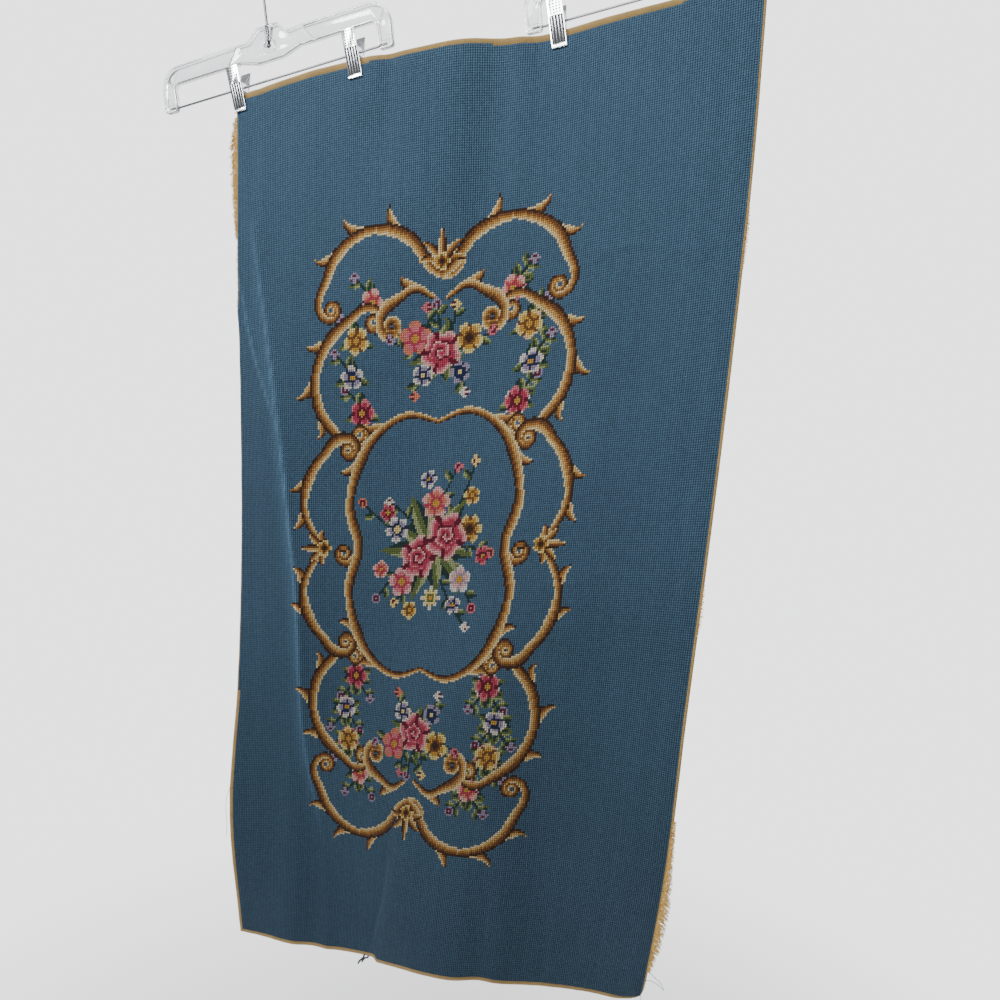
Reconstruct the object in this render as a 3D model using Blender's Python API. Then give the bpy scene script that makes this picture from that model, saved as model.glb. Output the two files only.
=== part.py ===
"""Needlepoint canvas panel that hangs from two clip hangers.

Sizes are in millimetres and turned into metres as each mesh is made. +Z is up, +X runs to
the right across the stitched face, and +Y points away from someone who looks at that face.
The origin is the seat inside the left hook, where the rail or nail that holds it would lie.
"""

import math
import random
from collections import namedtuple

import bmesh
import bpy
import numpy as np
from mathutils import Matrix, Vector

MM = 0.001

# Sheet
FIELD_THICKNESS = 2.0
HEM_THICKNESS = 3.0
HEM_WIDTH = 28.0
HEM_STEP = 3.0
CELL_ACROSS = 17.0
CELL_DOWN = 31.0

# A section is a level line across the sheet. down is its share of the height, left and right
# are the two edges, and depths say how far back it lies at nine even stations across.
Section = namedtuple("Section", "down left right depths")
SECTIONS = (
    Section(0.00, -297, 302, (-10, -14, -19, -14, -8, 14, 16, 16, 15)),
    Section(0.17, -296, 305, (-6, -12, -14, -12, 3, 13, 11, 10, 9)),
    Section(0.33, -296, 303, (0, -10, -2, 7, 12, 10, 6, 4, -3)),
    Section(0.50, -298, 299, (6, 1, 9, 15, 9, -5, -12, -15, -25)),
    Section(0.67, -300, 292, (3, 8, 18, 12, -9, -20, -12, -12, -32)),
    Section(0.83, -302, 285, (-10, 9, 17, 4, -20, -23, 0, -1, -9)),
    Section(1.00, -298, 266, (10, 9, 11, 6, -24, -23, 11, 28, 35)),
)

# A station is an upright line. top and bottom are the heights of the edges there, and bow is
# how much higher its middle lies than halfway between them.
Station = namedtuple("Station", "across top bottom bow")
STATIONS = (
    Station(0.000, 512, -603, 10),
    Station(0.125, 526, -595, 9),
    Station(0.250, 537, -588, 6),
    Station(0.375, 546, -576, 4),
    Station(0.500, 556, -554, 0),
    Station(0.625, 562, -547, 6),
    Station(0.750, 575, -554, 15),
    Station(0.875, 587, -553, 19),
    Station(1.000, 600, -555, 25),
)

# A fold is a crest towards the viewer, or a valley where its height is below zero. path gives
# (down, across) along its line, and left and right are the widths of its two flanks.
Fold = namedtuple("Fold", "path height left right")
FOLDS = (
    Fold(((0.03, 0.005), (0.17, 0.040), (0.34, 0.103), (0.52, 0.145), (0.72, 0.168), (0.84, 0.215)),
         6, 46, 34),
    Fold(((0.20, -0.03), (0.28, 0.050), (0.36, 0.100)), 3, 12, 9),
    Fold(((-0.12, 0.045), (0.16, 0.042)), -3, 16, 13),
    Fold(((-0.12, 0.335), (0.20, 0.325)), -4, 40, 16),
    Fold(((-0.16, 0.552), (0.24, 0.525)), -9, 28, 24),
    Fold(((0.74, 0.420), (0.86, 0.435), (0.95, 0.415), (1.12, 0.340)), 7, 11, 28),
    Fold(((0.84, 0.640), (1.16, 0.660)), -6, 20, 16),
    Fold(((0.76, 0.130), (0.90, 0.155), (1.16, 0.140)), 5, 34, 18),
)

# Sizes across the top edge and down the middle station
SHEET_WIDTH = SECTIONS[0].right - SECTIONS[0].left
MIDDLE = STATIONS[len(STATIONS) // 2]
SHEET_HEIGHT = MIDDLE.top - MIDDLE.bottom

# The lower right corner rolls to the back
CURL_REACH = 27.0
CURL_RADIUS = 26.0

# A clip holds the sheet flat this far to each side of its middle and below the rod, and the hold
# fades out over these distances.
HELD_BESIDE = 14.0
HELD_BELOW = 34.0
FADE_BESIDE = 30.0
FADE_BELOW = 50.0

# Frayed edges: side is 0 at the left edge and 1 at the right, start and end are shares of the
# height, and the lengths are those of the threads there.
Fray = namedtuple("Fray", "name side start end shortest longest droop")
FRAYS = (
    Fray("fringe_left", 0, 0.030, 0.150, 6.0, 10.0, 0.35),
    Fray("fringe_right", 1, 0.780, 0.950, 6.0, 13.0, 0.55),
)
FRAY_GAP = 0.4
FRAY_STRIP_WIDTH = 1.6
FRAY_STRIP_THICKNESS = 1.2
FRAY_THREAD = 1.1
FRAY_PITCH = 3.1
FRAY_TAPER = 0.55
FRAY_SEED = 7

# Hangers: where the rod lies under the hook, how the rod climbs to the right and turns back,
# and where its two clips sit along it.
Hanger = namedtuple("Hanger", "side rod_at climb_deg turn_deg clips_at")
HANGERS = (
    Hanger("left", (-244.6, -10.8, 526.9), 9.05, -2.7, (-49.0, 111.5)),
    Hanger("right", (214.4, 16.8, 593.0), 9.25, -0.8, (-126.0, 72.0)),
)
CLEARANCE = 0.3
ROD_RADIUS = 1.25
ROD_HALF_LENGTH = 154.0

# Moulded hanger body. Each corner of its right half is x, z and the radius it is rounded to.
INNER_POST = 143.5
Corner = namedtuple("Corner", "x z radius")
HALF_OUTLINE = (
    Corner(15.0, 59.5, 6.0),
    Corner(28.0, 48.0, 6.0),
    Corner(161.5, 47.5, 26.0),
    Corner(161.5, -4.0, 2.8),
    Corner(INNER_POST, -4.0, 2.8),
    Corner(INNER_POST, 27.0, 6.0),
    Corner(42.0, 27.0, 10.0),
    Corner(18.0, 20.5, 10.0),
)
RIM_WIDTH = 2.2
RIM_HALF_DEPTH = 3.0
WEB_HALF_DEPTH = 1.1
RIBS = (((47.0, 46.2), (61.0, 28.2)), ((154.5, 37.5), (147.0, 25.5)))
RIB_WIDTH = 1.6
RIB_HALF_DEPTH = 2.3
WINDOW_Z = 38.0
WINDOW_RADIUS = 5.0
WINDOW_RIM = 2.5
WINDOW_RIM_HALF_DEPTH = 2.7
BOSS_RADIUS = 4.0
BOSS_Z = (42.0, 58.5)
SHANK_BORE_TOP = 62.0
SOCKET_LOW = (145.0, -2.6, -3.0)
SOCKET_HIGH = (160.0, 2.6, 4.5)
ROD_BORE_X = (141.5, 155.0)
PAST_THE_FACE = 6.0

# Wire hook
WIRE_RADIUS = 1.5
HOOK_HEAD_RADIUS = 3.0
HOOK_HEAD_HEIGHT = 2.5
HOOK_STRAIGHT_TO = 92.0
CROOK_RADIUS = 20.0
CROOK_CENTRE_Z = 130.0
CROOK_END_DEG = 215.0
HOOK_SIDES = 10
SHANK_BEND_STEPS = 8
CROOK_STEPS = 16

# Clip
CLIP_HALF_WIDTH = 8.25
CLIP_BOTTOM = -26.5
CLIP_TOP = 23.0
GRIP = HEM_THICKNESS / 2 + CLEARANCE
PAD_HEIGHT = 3.5
PAD_BULGE = 0.9
JAW_THICKNESS = 1.0
JAW_SWELL = 0.4
FRONT_LEAN = 8.2
BACK_LEAN = 13.5
CHEEK_THICKNESS = 0.8
CHEEK_HALF_HEIGHT = 4.5
CHEEK_PAST_ROD = 3.4
JAW_RIBS_AT = (-5.1, -1.7, 1.7, 5.1)
JAW_RIB_WIDTH = 1.3
JAW_RIB_HEIGHT = 0.6
JAW_RIB_LENGTH = 27.0
SPRING_WIRE = 0.5
SPRING_TURNS = 3
SPRING_PITCH = 1.7
SPRING_LEG_Z = 11.0
COIL_SLACK = 0.15

# Looks: colour, roughness, metallic and alpha
PLASTIC = ((0.93, 0.95, 0.96), 0.08, 0.0, 0.3)
STEEL = ((0.55, 0.56, 0.58), 0.25, 1.0)
CHROME = ((0.80, 0.81, 0.83), 0.12, 1.0)
WOOL = ((0.055, 0.115, 0.205), 0.95)
TAN_CANVAS = ((0.58, 0.41, 0.19), 0.95)

# Faces of a box whose corners run through x, then y, then z
BOX_FACES = ((0, 1, 3, 2), (4, 6, 7, 5), (0, 4, 5, 1), (2, 3, 7, 6), (0, 2, 6, 4), (1, 5, 7, 3))


def clear_scene():
    for obj in list(bpy.data.objects):
        bpy.data.objects.remove(obj)


def make_material(name, colour, roughness, metallic=0.0, alpha=1.0):
    material = bpy.data.materials.new(name)
    material.use_nodes = True
    shader = material.node_tree.nodes["Principled BSDF"]
    shader.inputs["Base Color"].default_value = (*colour, 1.0)
    shader.inputs["Roughness"].default_value = roughness
    shader.inputs["Metallic"].default_value = metallic
    shader.inputs["Alpha"].default_value = alpha
    return material


def make_mesh(name, points, faces):
    """A mesh from points in millimetres, with its faces turned outwards."""
    mesh = bpy.data.meshes.new(name)
    mesh.from_pydata([Vector(p) * MM for p in points], [], faces)
    shape = bmesh.new()
    shape.from_mesh(mesh)
    bmesh.ops.recalc_face_normals(shape, faces=shape.faces)
    shape.to_mesh(mesh)
    shape.free()
    return mesh


def add_object(name, mesh, material, parent=None):
    """A named object with its own copy of the material."""
    obj = bpy.data.objects.new(name, mesh)
    bpy.context.scene.collection.objects.link(obj)
    obj.parent = parent
    if not mesh.materials:
        mesh.materials.append(None)
    obj.material_slots[0].link = "OBJECT"
    obj.material_slots[0].material = material
    return obj


def add_empty(name, matrix, parent=None):
    empty = bpy.data.objects.new(name, None)
    bpy.context.scene.collection.objects.link(empty)
    empty.parent = parent
    empty.matrix_local = matrix
    return empty


def combine(name, base, operations):
    """The mesh base with further meshes joined to it or cut from it, one after another."""
    work = add_object(name, base, None)
    tools = []
    for operation, mesh in operations:
        tool = add_object("tool", mesh, None)
        modifier = work.modifiers.new(operation, "BOOLEAN")
        modifier.operation = operation
        modifier.solver = "EXACT"
        modifier.object = tool
        tools.append(tool)
    graph = bpy.context.evaluated_depsgraph_get()
    result = bpy.data.meshes.new_from_object(work.evaluated_get(graph))
    result.name = name
    for obj in [work, *tools]:
        bpy.data.objects.remove(obj)
    return result


def smooth_curve(knots, values, at):
    """A smooth curve through values at rising knots. A value may be a row of numbers."""
    knots = np.asarray(knots, float)
    values = np.asarray(values, float)
    slopes = np.gradient(values, knots, axis=0)
    i = int(np.clip(np.searchsorted(knots, at) - 1, 0, len(knots) - 2))
    span = knots[i + 1] - knots[i]
    t = (at - knots[i]) / span
    start = (1 + 2 * t) * (1 - t) ** 2 * values[i] + t * (1 - t) ** 2 * span * slopes[i]
    end = t * t * (3 - 2 * t) * values[i + 1] - t * t * (1 - t) * span * slopes[i + 1]
    return start + end


def ease(t):
    t = min(max(t, 0.0), 1.0)
    return t * t * (3 - 2 * t)


def fold_height(fold, across, down, width):
    """How far a fold lifts the sheet towards the viewer at one place."""
    first, last = fold.path[0][0], fold.path[-1][0]
    if not first < down < last:
        return 0.0
    line = smooth_curve([p[0] for p in fold.path], [p[1] for p in fold.path], down)
    offset = (across - line) * width
    flank = fold.left if offset < 0 else fold.right
    strength = math.sin(math.pi * (down - first) / (last - first)) ** 0.8
    return fold.height * strength * math.exp(-((offset / flank) ** 2))


def hanger_frame(hanger):
    """Where a hanger's own axes lie: X along its rod, Z up its hook, the rod at the origin."""
    turn = Matrix.Rotation(math.radians(hanger.turn_deg), 4, "Z")
    climb = Matrix.Rotation(math.radians(-hanger.climb_deg), 4, "Y")
    return Matrix.Translation(Vector(hanger.rod_at)) @ turn @ climb


def clip_hold(point):
    """How firmly the nearest clip holds the sheet here, and the depth that it holds it at."""
    best = (0.0, 0.0)
    for hanger in HANGERS:
        local = hanger_frame(hanger).inverted() @ Vector(point)
        for clip_at in hanger.clips_at:
            beside = 1 - ease((abs(local.x - clip_at) - HELD_BESIDE) / FADE_BESIDE)
            below = 1 - ease((-local.z - HELD_BELOW) / FADE_BELOW)
            slope = math.tan(math.radians(hanger.turn_deg))
            depth = hanger.rod_at[1] + (point[0] - hanger.rod_at[0]) * slope - HEM_THICKNESS / 2
            best = max(best, (beside * below, depth))
    return best


def sheet_front(across, down):
    """A point of the stitched face, with across and down running from 0 to 1."""
    knots = [section.down for section in SECTIONS]
    left = float(smooth_curve(knots, [section.left for section in SECTIONS], down))
    right = float(smooth_curve(knots, [section.right for section in SECTIONS], down))
    depths = smooth_curve(knots, [section.depths for section in SECTIONS], down)
    stations = [station.across for station in STATIONS]
    top = float(smooth_curve(stations, [station.top for station in STATIONS], across))
    bottom = float(smooth_curve(stations, [station.bottom for station in STATIONS], across))
    bow = float(smooth_curve(stations, [station.bow for station in STATIONS], across))

    x = left + (right - left) * across
    z = top + (bottom - top) * down + bow * 4 * down * (1 - down)
    y = float(smooth_curve(stations, depths, across))
    y -= sum(fold_height(fold, across, down, right - left) for fold in FOLDS)
    hold, held_depth = clip_hold((x, y, z))
    y += hold * (held_depth - y)
    return roll_corner(Vector((x, y, z)), (1 - across) * (right - left), (1 - down) * (top - bottom))


def roll_corner(point, from_right, from_bottom):
    """Rolls the lower right corner back round a slanting line."""
    inside = CURL_REACH - (from_right + from_bottom) * math.sqrt(0.5)
    if inside <= 0:
        return point
    turned = inside / CURL_RADIUS
    drawn_in = (inside - CURL_RADIUS * math.sin(turned)) * math.sqrt(0.5)
    return point + Vector((-drawn_in, CURL_RADIUS * (1 - math.cos(turned)), drawn_in))


def sheet_directions(across, down):
    """The directions across and down the sheet, and the one straight back from its face."""
    step = 0.004
    a0, a1 = max(across - step, 0), min(across + step, 1)
    d0, d1 = max(down - step, 0), min(down + step, 1)
    sideways = (sheet_front(a1, down) - sheet_front(a0, down)).normalized()
    downwards = (sheet_front(across, d1) - sheet_front(across, d0)).normalized()
    return sideways, downwards, sideways.cross(downwards).normalized()


def grid_lines(length, cell):
    """Shares of a length: even cells, with closer lines at both hems."""
    hem = [0.0, HEM_WIDTH / 2, HEM_WIDTH, HEM_WIDTH + HEM_STEP]
    inner = length - 2 * hem[-1]
    count = round(inner / cell)
    middle = [hem[-1] + inner * i / count for i in range(1, count)]
    lines = hem + middle + [length - h for h in reversed(hem)]
    return [line / length for line in lines]


def make_sheet():
    """The sheet as one closed skin, thicker in its hems."""
    columns = grid_lines(SHEET_WIDTH, CELL_ACROSS)
    rows = grid_lines(SHEET_HEIGHT, CELL_DOWN)
    front, back = [], []
    for down in rows:
        for across in columns:
            point = sheet_front(across, down)
            edge = min(min(across, 1 - across) * SHEET_WIDTH, min(down, 1 - down) * SHEET_HEIGHT)
            thickness = HEM_THICKNESS if edge < HEM_WIDTH + HEM_STEP / 2 else FIELD_THICKNESS
            front.append(point)
            back.append(point + sheet_directions(across, down)[2] * thickness)

    wide, tall, count = len(columns), len(rows), len(front)
    faces = []
    for r in range(tall - 1):
        for c in range(wide - 1):
            a, b = r * wide + c, (r + 1) * wide + c
            faces.append((a, b, b + 1, a + 1))
            faces.append((count + a, count + a + 1, count + b + 1, count + b))
    rim = list(range(wide))
    rim += [r * wide + wide - 1 for r in range(1, tall)]
    rim += [(tall - 1) * wide + c for c in range(wide - 2, -1, -1)]
    rim += [r * wide for r in range(tall - 2, 0, -1)]
    for i, j in zip(rim, rim[1:] + rim[:1]):
        faces.append((i, j, count + j, count + i))
    return make_mesh("canvas_panel", front + back, faces)


def strip_section(fray, down):
    """The strip's four corners at one height, and the directions out, down and back there."""
    sideways, downwards, backwards = sheet_directions(fray.side, down)
    outward = sideways if fray.side else -sideways
    behind = backwards * (HEM_THICKNESS - FRAY_STRIP_THICKNESS)
    near = sheet_front(fray.side, down) + behind + outward * FRAY_GAP
    far = near + outward * FRAY_STRIP_WIDTH
    depth = backwards * FRAY_STRIP_THICKNESS
    return [near, near + depth, far + depth, far], (outward, downwards, backwards)


def thread_offset(fray, directions, rng):
    """Where a thread's tip lies from its root."""
    outward, downwards, backwards = directions
    reach = rng.uniform(fray.shortest, fray.longest)
    droop = fray.droop * reach * rng.uniform(0.9, 1.1)
    return outward * reach * 0.9 + downwards * droop + backwards * rng.uniform(-0.5, 1.0)


def add_thread(points, faces, root, offset):
    """Adds a tapered thread on four points of the strip."""
    centre = sum((points[k] for k in root), Vector()) / 4
    tip = range(len(points), len(points) + 4)
    points += [centre + offset + (points[k] - centre) * FRAY_TAPER for k in root]
    faces += [(root[k], root[(k + 1) % 4], tip[(k + 1) % 4], tip[k]) for k in range(4)]
    faces.append(tuple(reversed(tip)))


def make_fray(fray, rng):
    """Loose canvas threads that stand out from a narrow strip along the sheet's side."""
    threads = round((fray.end - fray.start) * SHEET_HEIGHT / FRAY_PITCH)
    places = [(i + part) / threads for i in range(threads) for part in (0.0, FRAY_THREAD / FRAY_PITCH)]
    sections = [strip_section(fray, fray.start + (fray.end - fray.start) * place) for place in places]
    points = [corner for corners, _ in sections for corner in corners]
    last = 4 * (len(sections) - 1)
    faces = [(3, 2, 1, 0), (last, last + 1, last + 2, last + 3)]
    for i in range(len(sections) - 1):
        a, b = 4 * i, 4 * (i + 1)
        has_thread = i % 2 == 0
        sides = (0, 1, 3) if has_thread else (0, 1, 2, 3)
        faces += [(a + k, a + (k + 1) % 4, b + (k + 1) % 4, b + k) for k in sides]
        if has_thread:
            add_thread(points, faces, (a + 3, a + 2, b + 2, b + 3), thread_offset(fray, sections[i][1], rng))
    return make_mesh(fray.name, points, faces)


def sweep(name, route, radii, sides):
    """A closed round bar along a route, with its own radius at each point."""
    points, faces = [], []
    side = None
    for i, centre in enumerate(route):
        ahead = (route[min(i + 1, len(route) - 1)] - route[max(i - 1, 0)]).normalized()
        if side is None:
            side = ahead.orthogonal().normalized()
        side = (side - ahead * side.dot(ahead)).normalized()
        other = ahead.cross(side)
        for k in range(sides):
            angle = 2 * math.pi * k / sides
            points.append(centre + (side * math.cos(angle) + other * math.sin(angle)) * radii[i])
    for i in range(len(route) - 1):
        for k in range(sides):
            a, b = i * sides + k, i * sides + (k + 1) % sides
            faces.append((a, b, b + sides, a + sides))
    last = (len(route) - 1) * sides
    faces += [tuple(range(sides)), tuple(range(last + sides - 1, last - 1, -1))]
    return make_mesh(name, points, faces)


def box_mesh(name, boxes):
    """Boxes that don't meet, each from its lowest and highest corner, as one mesh."""
    points, faces = [], []
    for low, high in boxes:
        n = len(points)
        points += [Vector((x, y, z)) for x in (low[0], high[0]) for y in (low[1], high[1])
                   for z in (low[2], high[2])]
        faces += [tuple(n + k for k in face) for face in BOX_FACES]
    return make_mesh(name, points, faces)


def prism_mesh(name, outlines, half_depth):
    """Flat outlines in x and z, each given a depth along Y, as one mesh."""
    points, faces = [], []
    for outline in outlines:
        n, count = len(points), len(outline)
        points += [Vector((x, side * half_depth, z)) for side in (-1, 1) for x, z in outline]
        faces += [tuple(range(n, n + count)), tuple(range(n + 2 * count - 1, n + count - 1, -1))]
        for k in range(count):
            j = (k + 1) % count
            faces.append((n + k, n + count + k, n + count + j, n + j))
    return make_mesh(name, points, faces)


def circle(centre, radius, sides):
    steps = [2 * math.pi * (k + 0.5) / sides for k in range(sides)]
    return [(centre[0] + radius * math.cos(a), centre[1] + radius * math.sin(a)) for a in steps]


def slanted_bar(start, end, width):
    """The outline of a straight bar between two points."""
    along = Vector((end[0] - start[0], end[1] - start[1])).normalized() * (width / 2)
    return [
        (start[0] - along.y, start[1] + along.x),
        (end[0] - along.y, end[1] + along.x),
        (end[0] + along.y, end[1] - along.x),
        (start[0] + along.y, start[1] - along.x),
    ]


def rounded_outline(corners):
    """Points round a closed outline whose corners are rounded off."""
    outline = []
    for i, corner in enumerate(corners):
        here = Vector((corner.x, corner.z))
        before = Vector((corners[i - 1].x, corners[i - 1].z))
        after = Vector((corners[(i + 1) % len(corners)].x, corners[(i + 1) % len(corners)].z))
        to_before, to_after = (before - here).normalized(), (after - here).normalized()
        half = to_before.angle(to_after) / 2
        reach = corner.radius / math.tan(half)
        centre = here + (to_before + to_after).normalized() * (corner.radius / math.sin(half))
        start = here + to_before * reach - centre
        end = here + to_after * reach - centre
        turn = math.atan2(start.x * end.y - start.y * end.x, start.dot(end))
        steps = max(2, round(abs(turn) * math.sqrt(corner.radius) / 1.2))
        for k in range(steps + 1):
            angle = turn * k / steps
            c, s = math.cos(angle), math.sin(angle)
            outline.append((centre.x + start.x * c - start.y * s, centre.y + start.x * s + start.y * c))
    return outline


def inset_outline(outline, width):
    """The outline moved inwards, which runs clockwise."""
    moved = []
    for i, (x, z) in enumerate(outline):
        before, after = outline[i - 1], outline[(i + 1) % len(outline)]
        along = Vector((after[0] - before[0], after[1] - before[1])).normalized()
        moved.append((x + along.y * width, z - along.x * width))
    return moved


def make_body_plate():
    """The hanger's plate: a thin web inside a thicker rim, on both faces."""
    mirrored = [Corner(-c.x, c.z, c.radius) for c in reversed(HALF_OUTLINE)]
    outer = rounded_outline([*HALF_OUTLINE, *mirrored])
    inner = inset_outline(outer, RIM_WIDTH)
    loops = ((outer, RIM_HALF_DEPTH), (inner, RIM_HALF_DEPTH), (inner, WEB_HALF_DEPTH))
    points, faces = [], []
    count = len(outer)
    for side in (-1, 1):
        for outline, depth in loops:
            points += [Vector((x, side * depth, z)) for x, z in outline]
    for side in (0, 3):
        for loop in range(2):
            start = (side + loop) * count
            for k in range(count):
                j = (k + 1) % count
                faces.append((start + k, start + j, start + count + j, start + count + k))
        web = (side + 2) * count
        faces.append(tuple(range(web, web + count)))
    for k in range(count):
        j = (k + 1) % count
        faces.append((k, j, 3 * count + j, 3 * count + k))
    return make_mesh("hanger_plate", points, faces)


def mirrored_box(low, high):
    """A box and its mirror image on the -X side, each from its lowest and highest corner."""
    return [(low, high), ((-high[0], low[1], low[2]), (-low[0], high[1], high[2]))]


def make_hanger_body():
    """The plate with its ribs, rod sockets and hub, bored for the rod and the hook."""
    bars = [slanted_bar(*rib, RIB_WIDTH) for rib in RIBS]
    bars += [[(-x, z) for x, z in reversed(bar)] for bar in bars]
    ring = circle((0, WINDOW_Z), WINDOW_RADIUS + WINDOW_RIM, 20)
    opening = circle((0, WINDOW_Z), WINDOW_RADIUS, 20)
    boss = [Vector((0, 0, z)) for z in BOSS_Z]
    shank = [Vector((0, 0, z)) for z in (WINDOW_Z, SHANK_BORE_TOP)]
    steps = [
        ("UNION", prism_mesh("bars", bars, RIB_HALF_DEPTH)),
        ("UNION", box_mesh("sockets", mirrored_box(SOCKET_LOW, SOCKET_HIGH))),
        ("UNION", prism_mesh("ring", [ring], WINDOW_RIM_HALF_DEPTH)),
        ("UNION", sweep("boss", boss, [BOSS_RADIUS] * 2, 14)),
        ("DIFFERENCE", prism_mesh("window", [opening], PAST_THE_FACE)),
        ("DIFFERENCE", sweep("shank_bore", shank, [WIRE_RADIUS + CLEARANCE] * 2, 12)),
    ]
    for sign in (-1, 1):
        ends = [Vector((sign * x, 0, 0)) for x in ROD_BORE_X]
        steps.append(("DIFFERENCE", sweep("rod_bore", ends, [ROD_RADIUS + CLEARANCE] * 2, 12)))
    return combine("hanger_body", make_body_plate(), steps)


def hook_route():
    """The wire from its head in the hub up the shank, out to the side and over the crook."""
    head = WINDOW_Z - 2.0
    route = [Vector((0, 0, head + z)) for z in (0, HOOK_HEAD_HEIGHT, HOOK_HEAD_HEIGHT + 0.2)]
    route.append(Vector((0, 0, HOOK_STRAIGHT_TO)))
    rise = CROOK_CENTRE_Z - HOOK_STRAIGHT_TO
    for k in range(1, SHANK_BEND_STEPS):
        t = k / SHANK_BEND_STEPS
        route.append(Vector((CROOK_RADIUS * ease(t), 0, HOOK_STRAIGHT_TO + rise * t)))
    for k in range(CROOK_STEPS + 1):
        angle = math.radians(CROOK_END_DEG * k / CROOK_STEPS)
        x, z = CROOK_RADIUS * math.cos(angle), CROOK_RADIUS * math.sin(angle)
        route.append(Vector((x, 0, CROOK_CENTRE_Z + z)))
    return route


def make_hook():
    route = hook_route()
    radii = [HOOK_HEAD_RADIUS] * 2 + [WIRE_RADIUS] * (len(route) - 2)
    return sweep("hanger_hook", route, radii, HOOK_SIDES)


def make_rod():
    ends = [Vector((-ROD_HALF_LENGTH, 0, 0)), Vector((ROD_HALF_LENGTH, 0, 0))]
    return sweep("hanger_rod", ends, [ROD_RADIUS] * 2, 12)


def jaw_profile(lean):
    """The side view of a jaw on the +Y side: a flat pad, then a plate that leans away."""
    pad_top = CLIP_BOTTOM + PAD_HEIGHT
    return [
        (GRIP, CLIP_BOTTOM),
        (GRIP, pad_top),
        (GRIP + lean, CLIP_TOP),
        (GRIP + lean + JAW_THICKNESS, CLIP_TOP),
        (GRIP + JAW_THICKNESS + JAW_SWELL, pad_top),
        (GRIP + JAW_THICKNESS + PAD_BULGE, CLIP_BOTTOM + 1.0),
        (GRIP + JAW_THICKNESS + PAD_BULGE, CLIP_BOTTOM),
    ]


def jaw_inner_depth(lean, z):
    """How far a jaw's inner face stands from the rod's centre at a height."""
    pad_top = CLIP_BOTTOM + PAD_HEIGHT
    return GRIP + lean * (z - pad_top) / (CLIP_TOP - pad_top)


def make_jaw(name, lean, half_width, ribbed):
    """One jaw with two cheeks that carry it on the rod. It is made on the +Y side."""
    profile = jaw_profile(lean)
    count = len(profile)
    points = [Vector((x, y, z)) for x in (-half_width, half_width) for y, z in profile]
    faces = [tuple(range(count)), tuple(range(2 * count - 1, count - 1, -1))]
    faces += [(k, count + k, count + (k + 1) % count, (k + 1) % count) for k in range(count)]
    plate = make_mesh("plate", points, faces)

    low, high = -CHEEK_HALF_HEIGHT, CHEEK_HALF_HEIGHT
    far = jaw_inner_depth(lean, low) + JAW_THICKNESS / 2
    cheeks = []
    for sign in (-1, 1):
        inner, outer = sorted((sign * (half_width - CHEEK_THICKNESS), sign * half_width))
        cheeks.append(((inner, -CHEEK_PAST_ROD, low), (outer, far, high)))
    bore = [Vector((x, 0, 0)) for x in (-half_width - 1, half_width + 1)]
    steps = [
        ("UNION", box_mesh("cheeks", cheeks)),
        ("DIFFERENCE", sweep("rod_bore", bore, [ROD_RADIUS + CLEARANCE] * 2, 12)),
    ]
    if ribbed:
        steps.insert(0, ("UNION", make_jaw_ribs(lean)))
    return combine(name, plate, steps)


def make_jaw_ribs(lean):
    """Upright ribs pressed into the lower part of the plate, on its outer face."""
    pad_top = CLIP_BOTTOM + PAD_HEIGHT
    start, end = pad_top + 0.5, pad_top + JAW_RIB_LENGTH
    points, faces = [], []
    for x in JAW_RIBS_AT:
        n = len(points)
        for z in (start, end):
            outer = jaw_inner_depth(lean, z) + JAW_THICKNESS
            for y in (outer - 0.3, outer + JAW_RIB_HEIGHT):
                points += [Vector((x - JAW_RIB_WIDTH / 2, y, z)), Vector((x + JAW_RIB_WIDTH / 2, y, z))]
        faces += [tuple(n + k for k in face) for face in BOX_FACES]
    return make_mesh("jaw_ribs", points, faces)


def turned_round(mesh, name):
    """A copy of a mesh turned half a turn about Z, which moves it to the -Y side."""
    copy = mesh.copy()
    copy.name = name
    copy.transform(Matrix.Rotation(math.pi, 4, "Z"))
    return copy


def make_spring():
    """A coil round the rod whose two legs press the jaws' upper ends apart."""
    coil = ROD_RADIUS + CLEARANCE + SPRING_WIRE + COIL_SLACK
    half = SPRING_TURNS * SPRING_PITCH / 2
    front = -jaw_inner_depth(FRONT_LEAN, SPRING_LEG_Z) + SPRING_WIRE + CLEARANCE
    back = jaw_inner_depth(BACK_LEAN, SPRING_LEG_Z) - SPRING_WIRE - CLEARANCE
    steps = SPRING_TURNS * 10
    route = [Vector((-half, front, SPRING_LEG_Z))]
    for k in range(steps + 1):
        angle = math.pi - 2 * math.pi * k / steps * (SPRING_TURNS - 0.5)
        route.append(Vector((-half + 2 * half * k / steps, coil * math.cos(angle), coil * math.sin(angle))))
    route.append(Vector((half, back, SPRING_LEG_Z)))
    return sweep("clip_spring", route, [SPRING_WIRE] * len(route), 6)


def seat_of(hanger):
    """Where a rail would touch the inside of a hanger's crook, in the sheet's own frame."""
    crest = CROOK_CENTRE_Z + CROOK_RADIUS - WIRE_RADIUS
    return hanger_frame(hanger) @ Vector((0, 0, crest))


def in_metres(matrix):
    scaled = matrix.copy()
    scaled.translation = matrix.translation * MM
    return scaled


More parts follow.
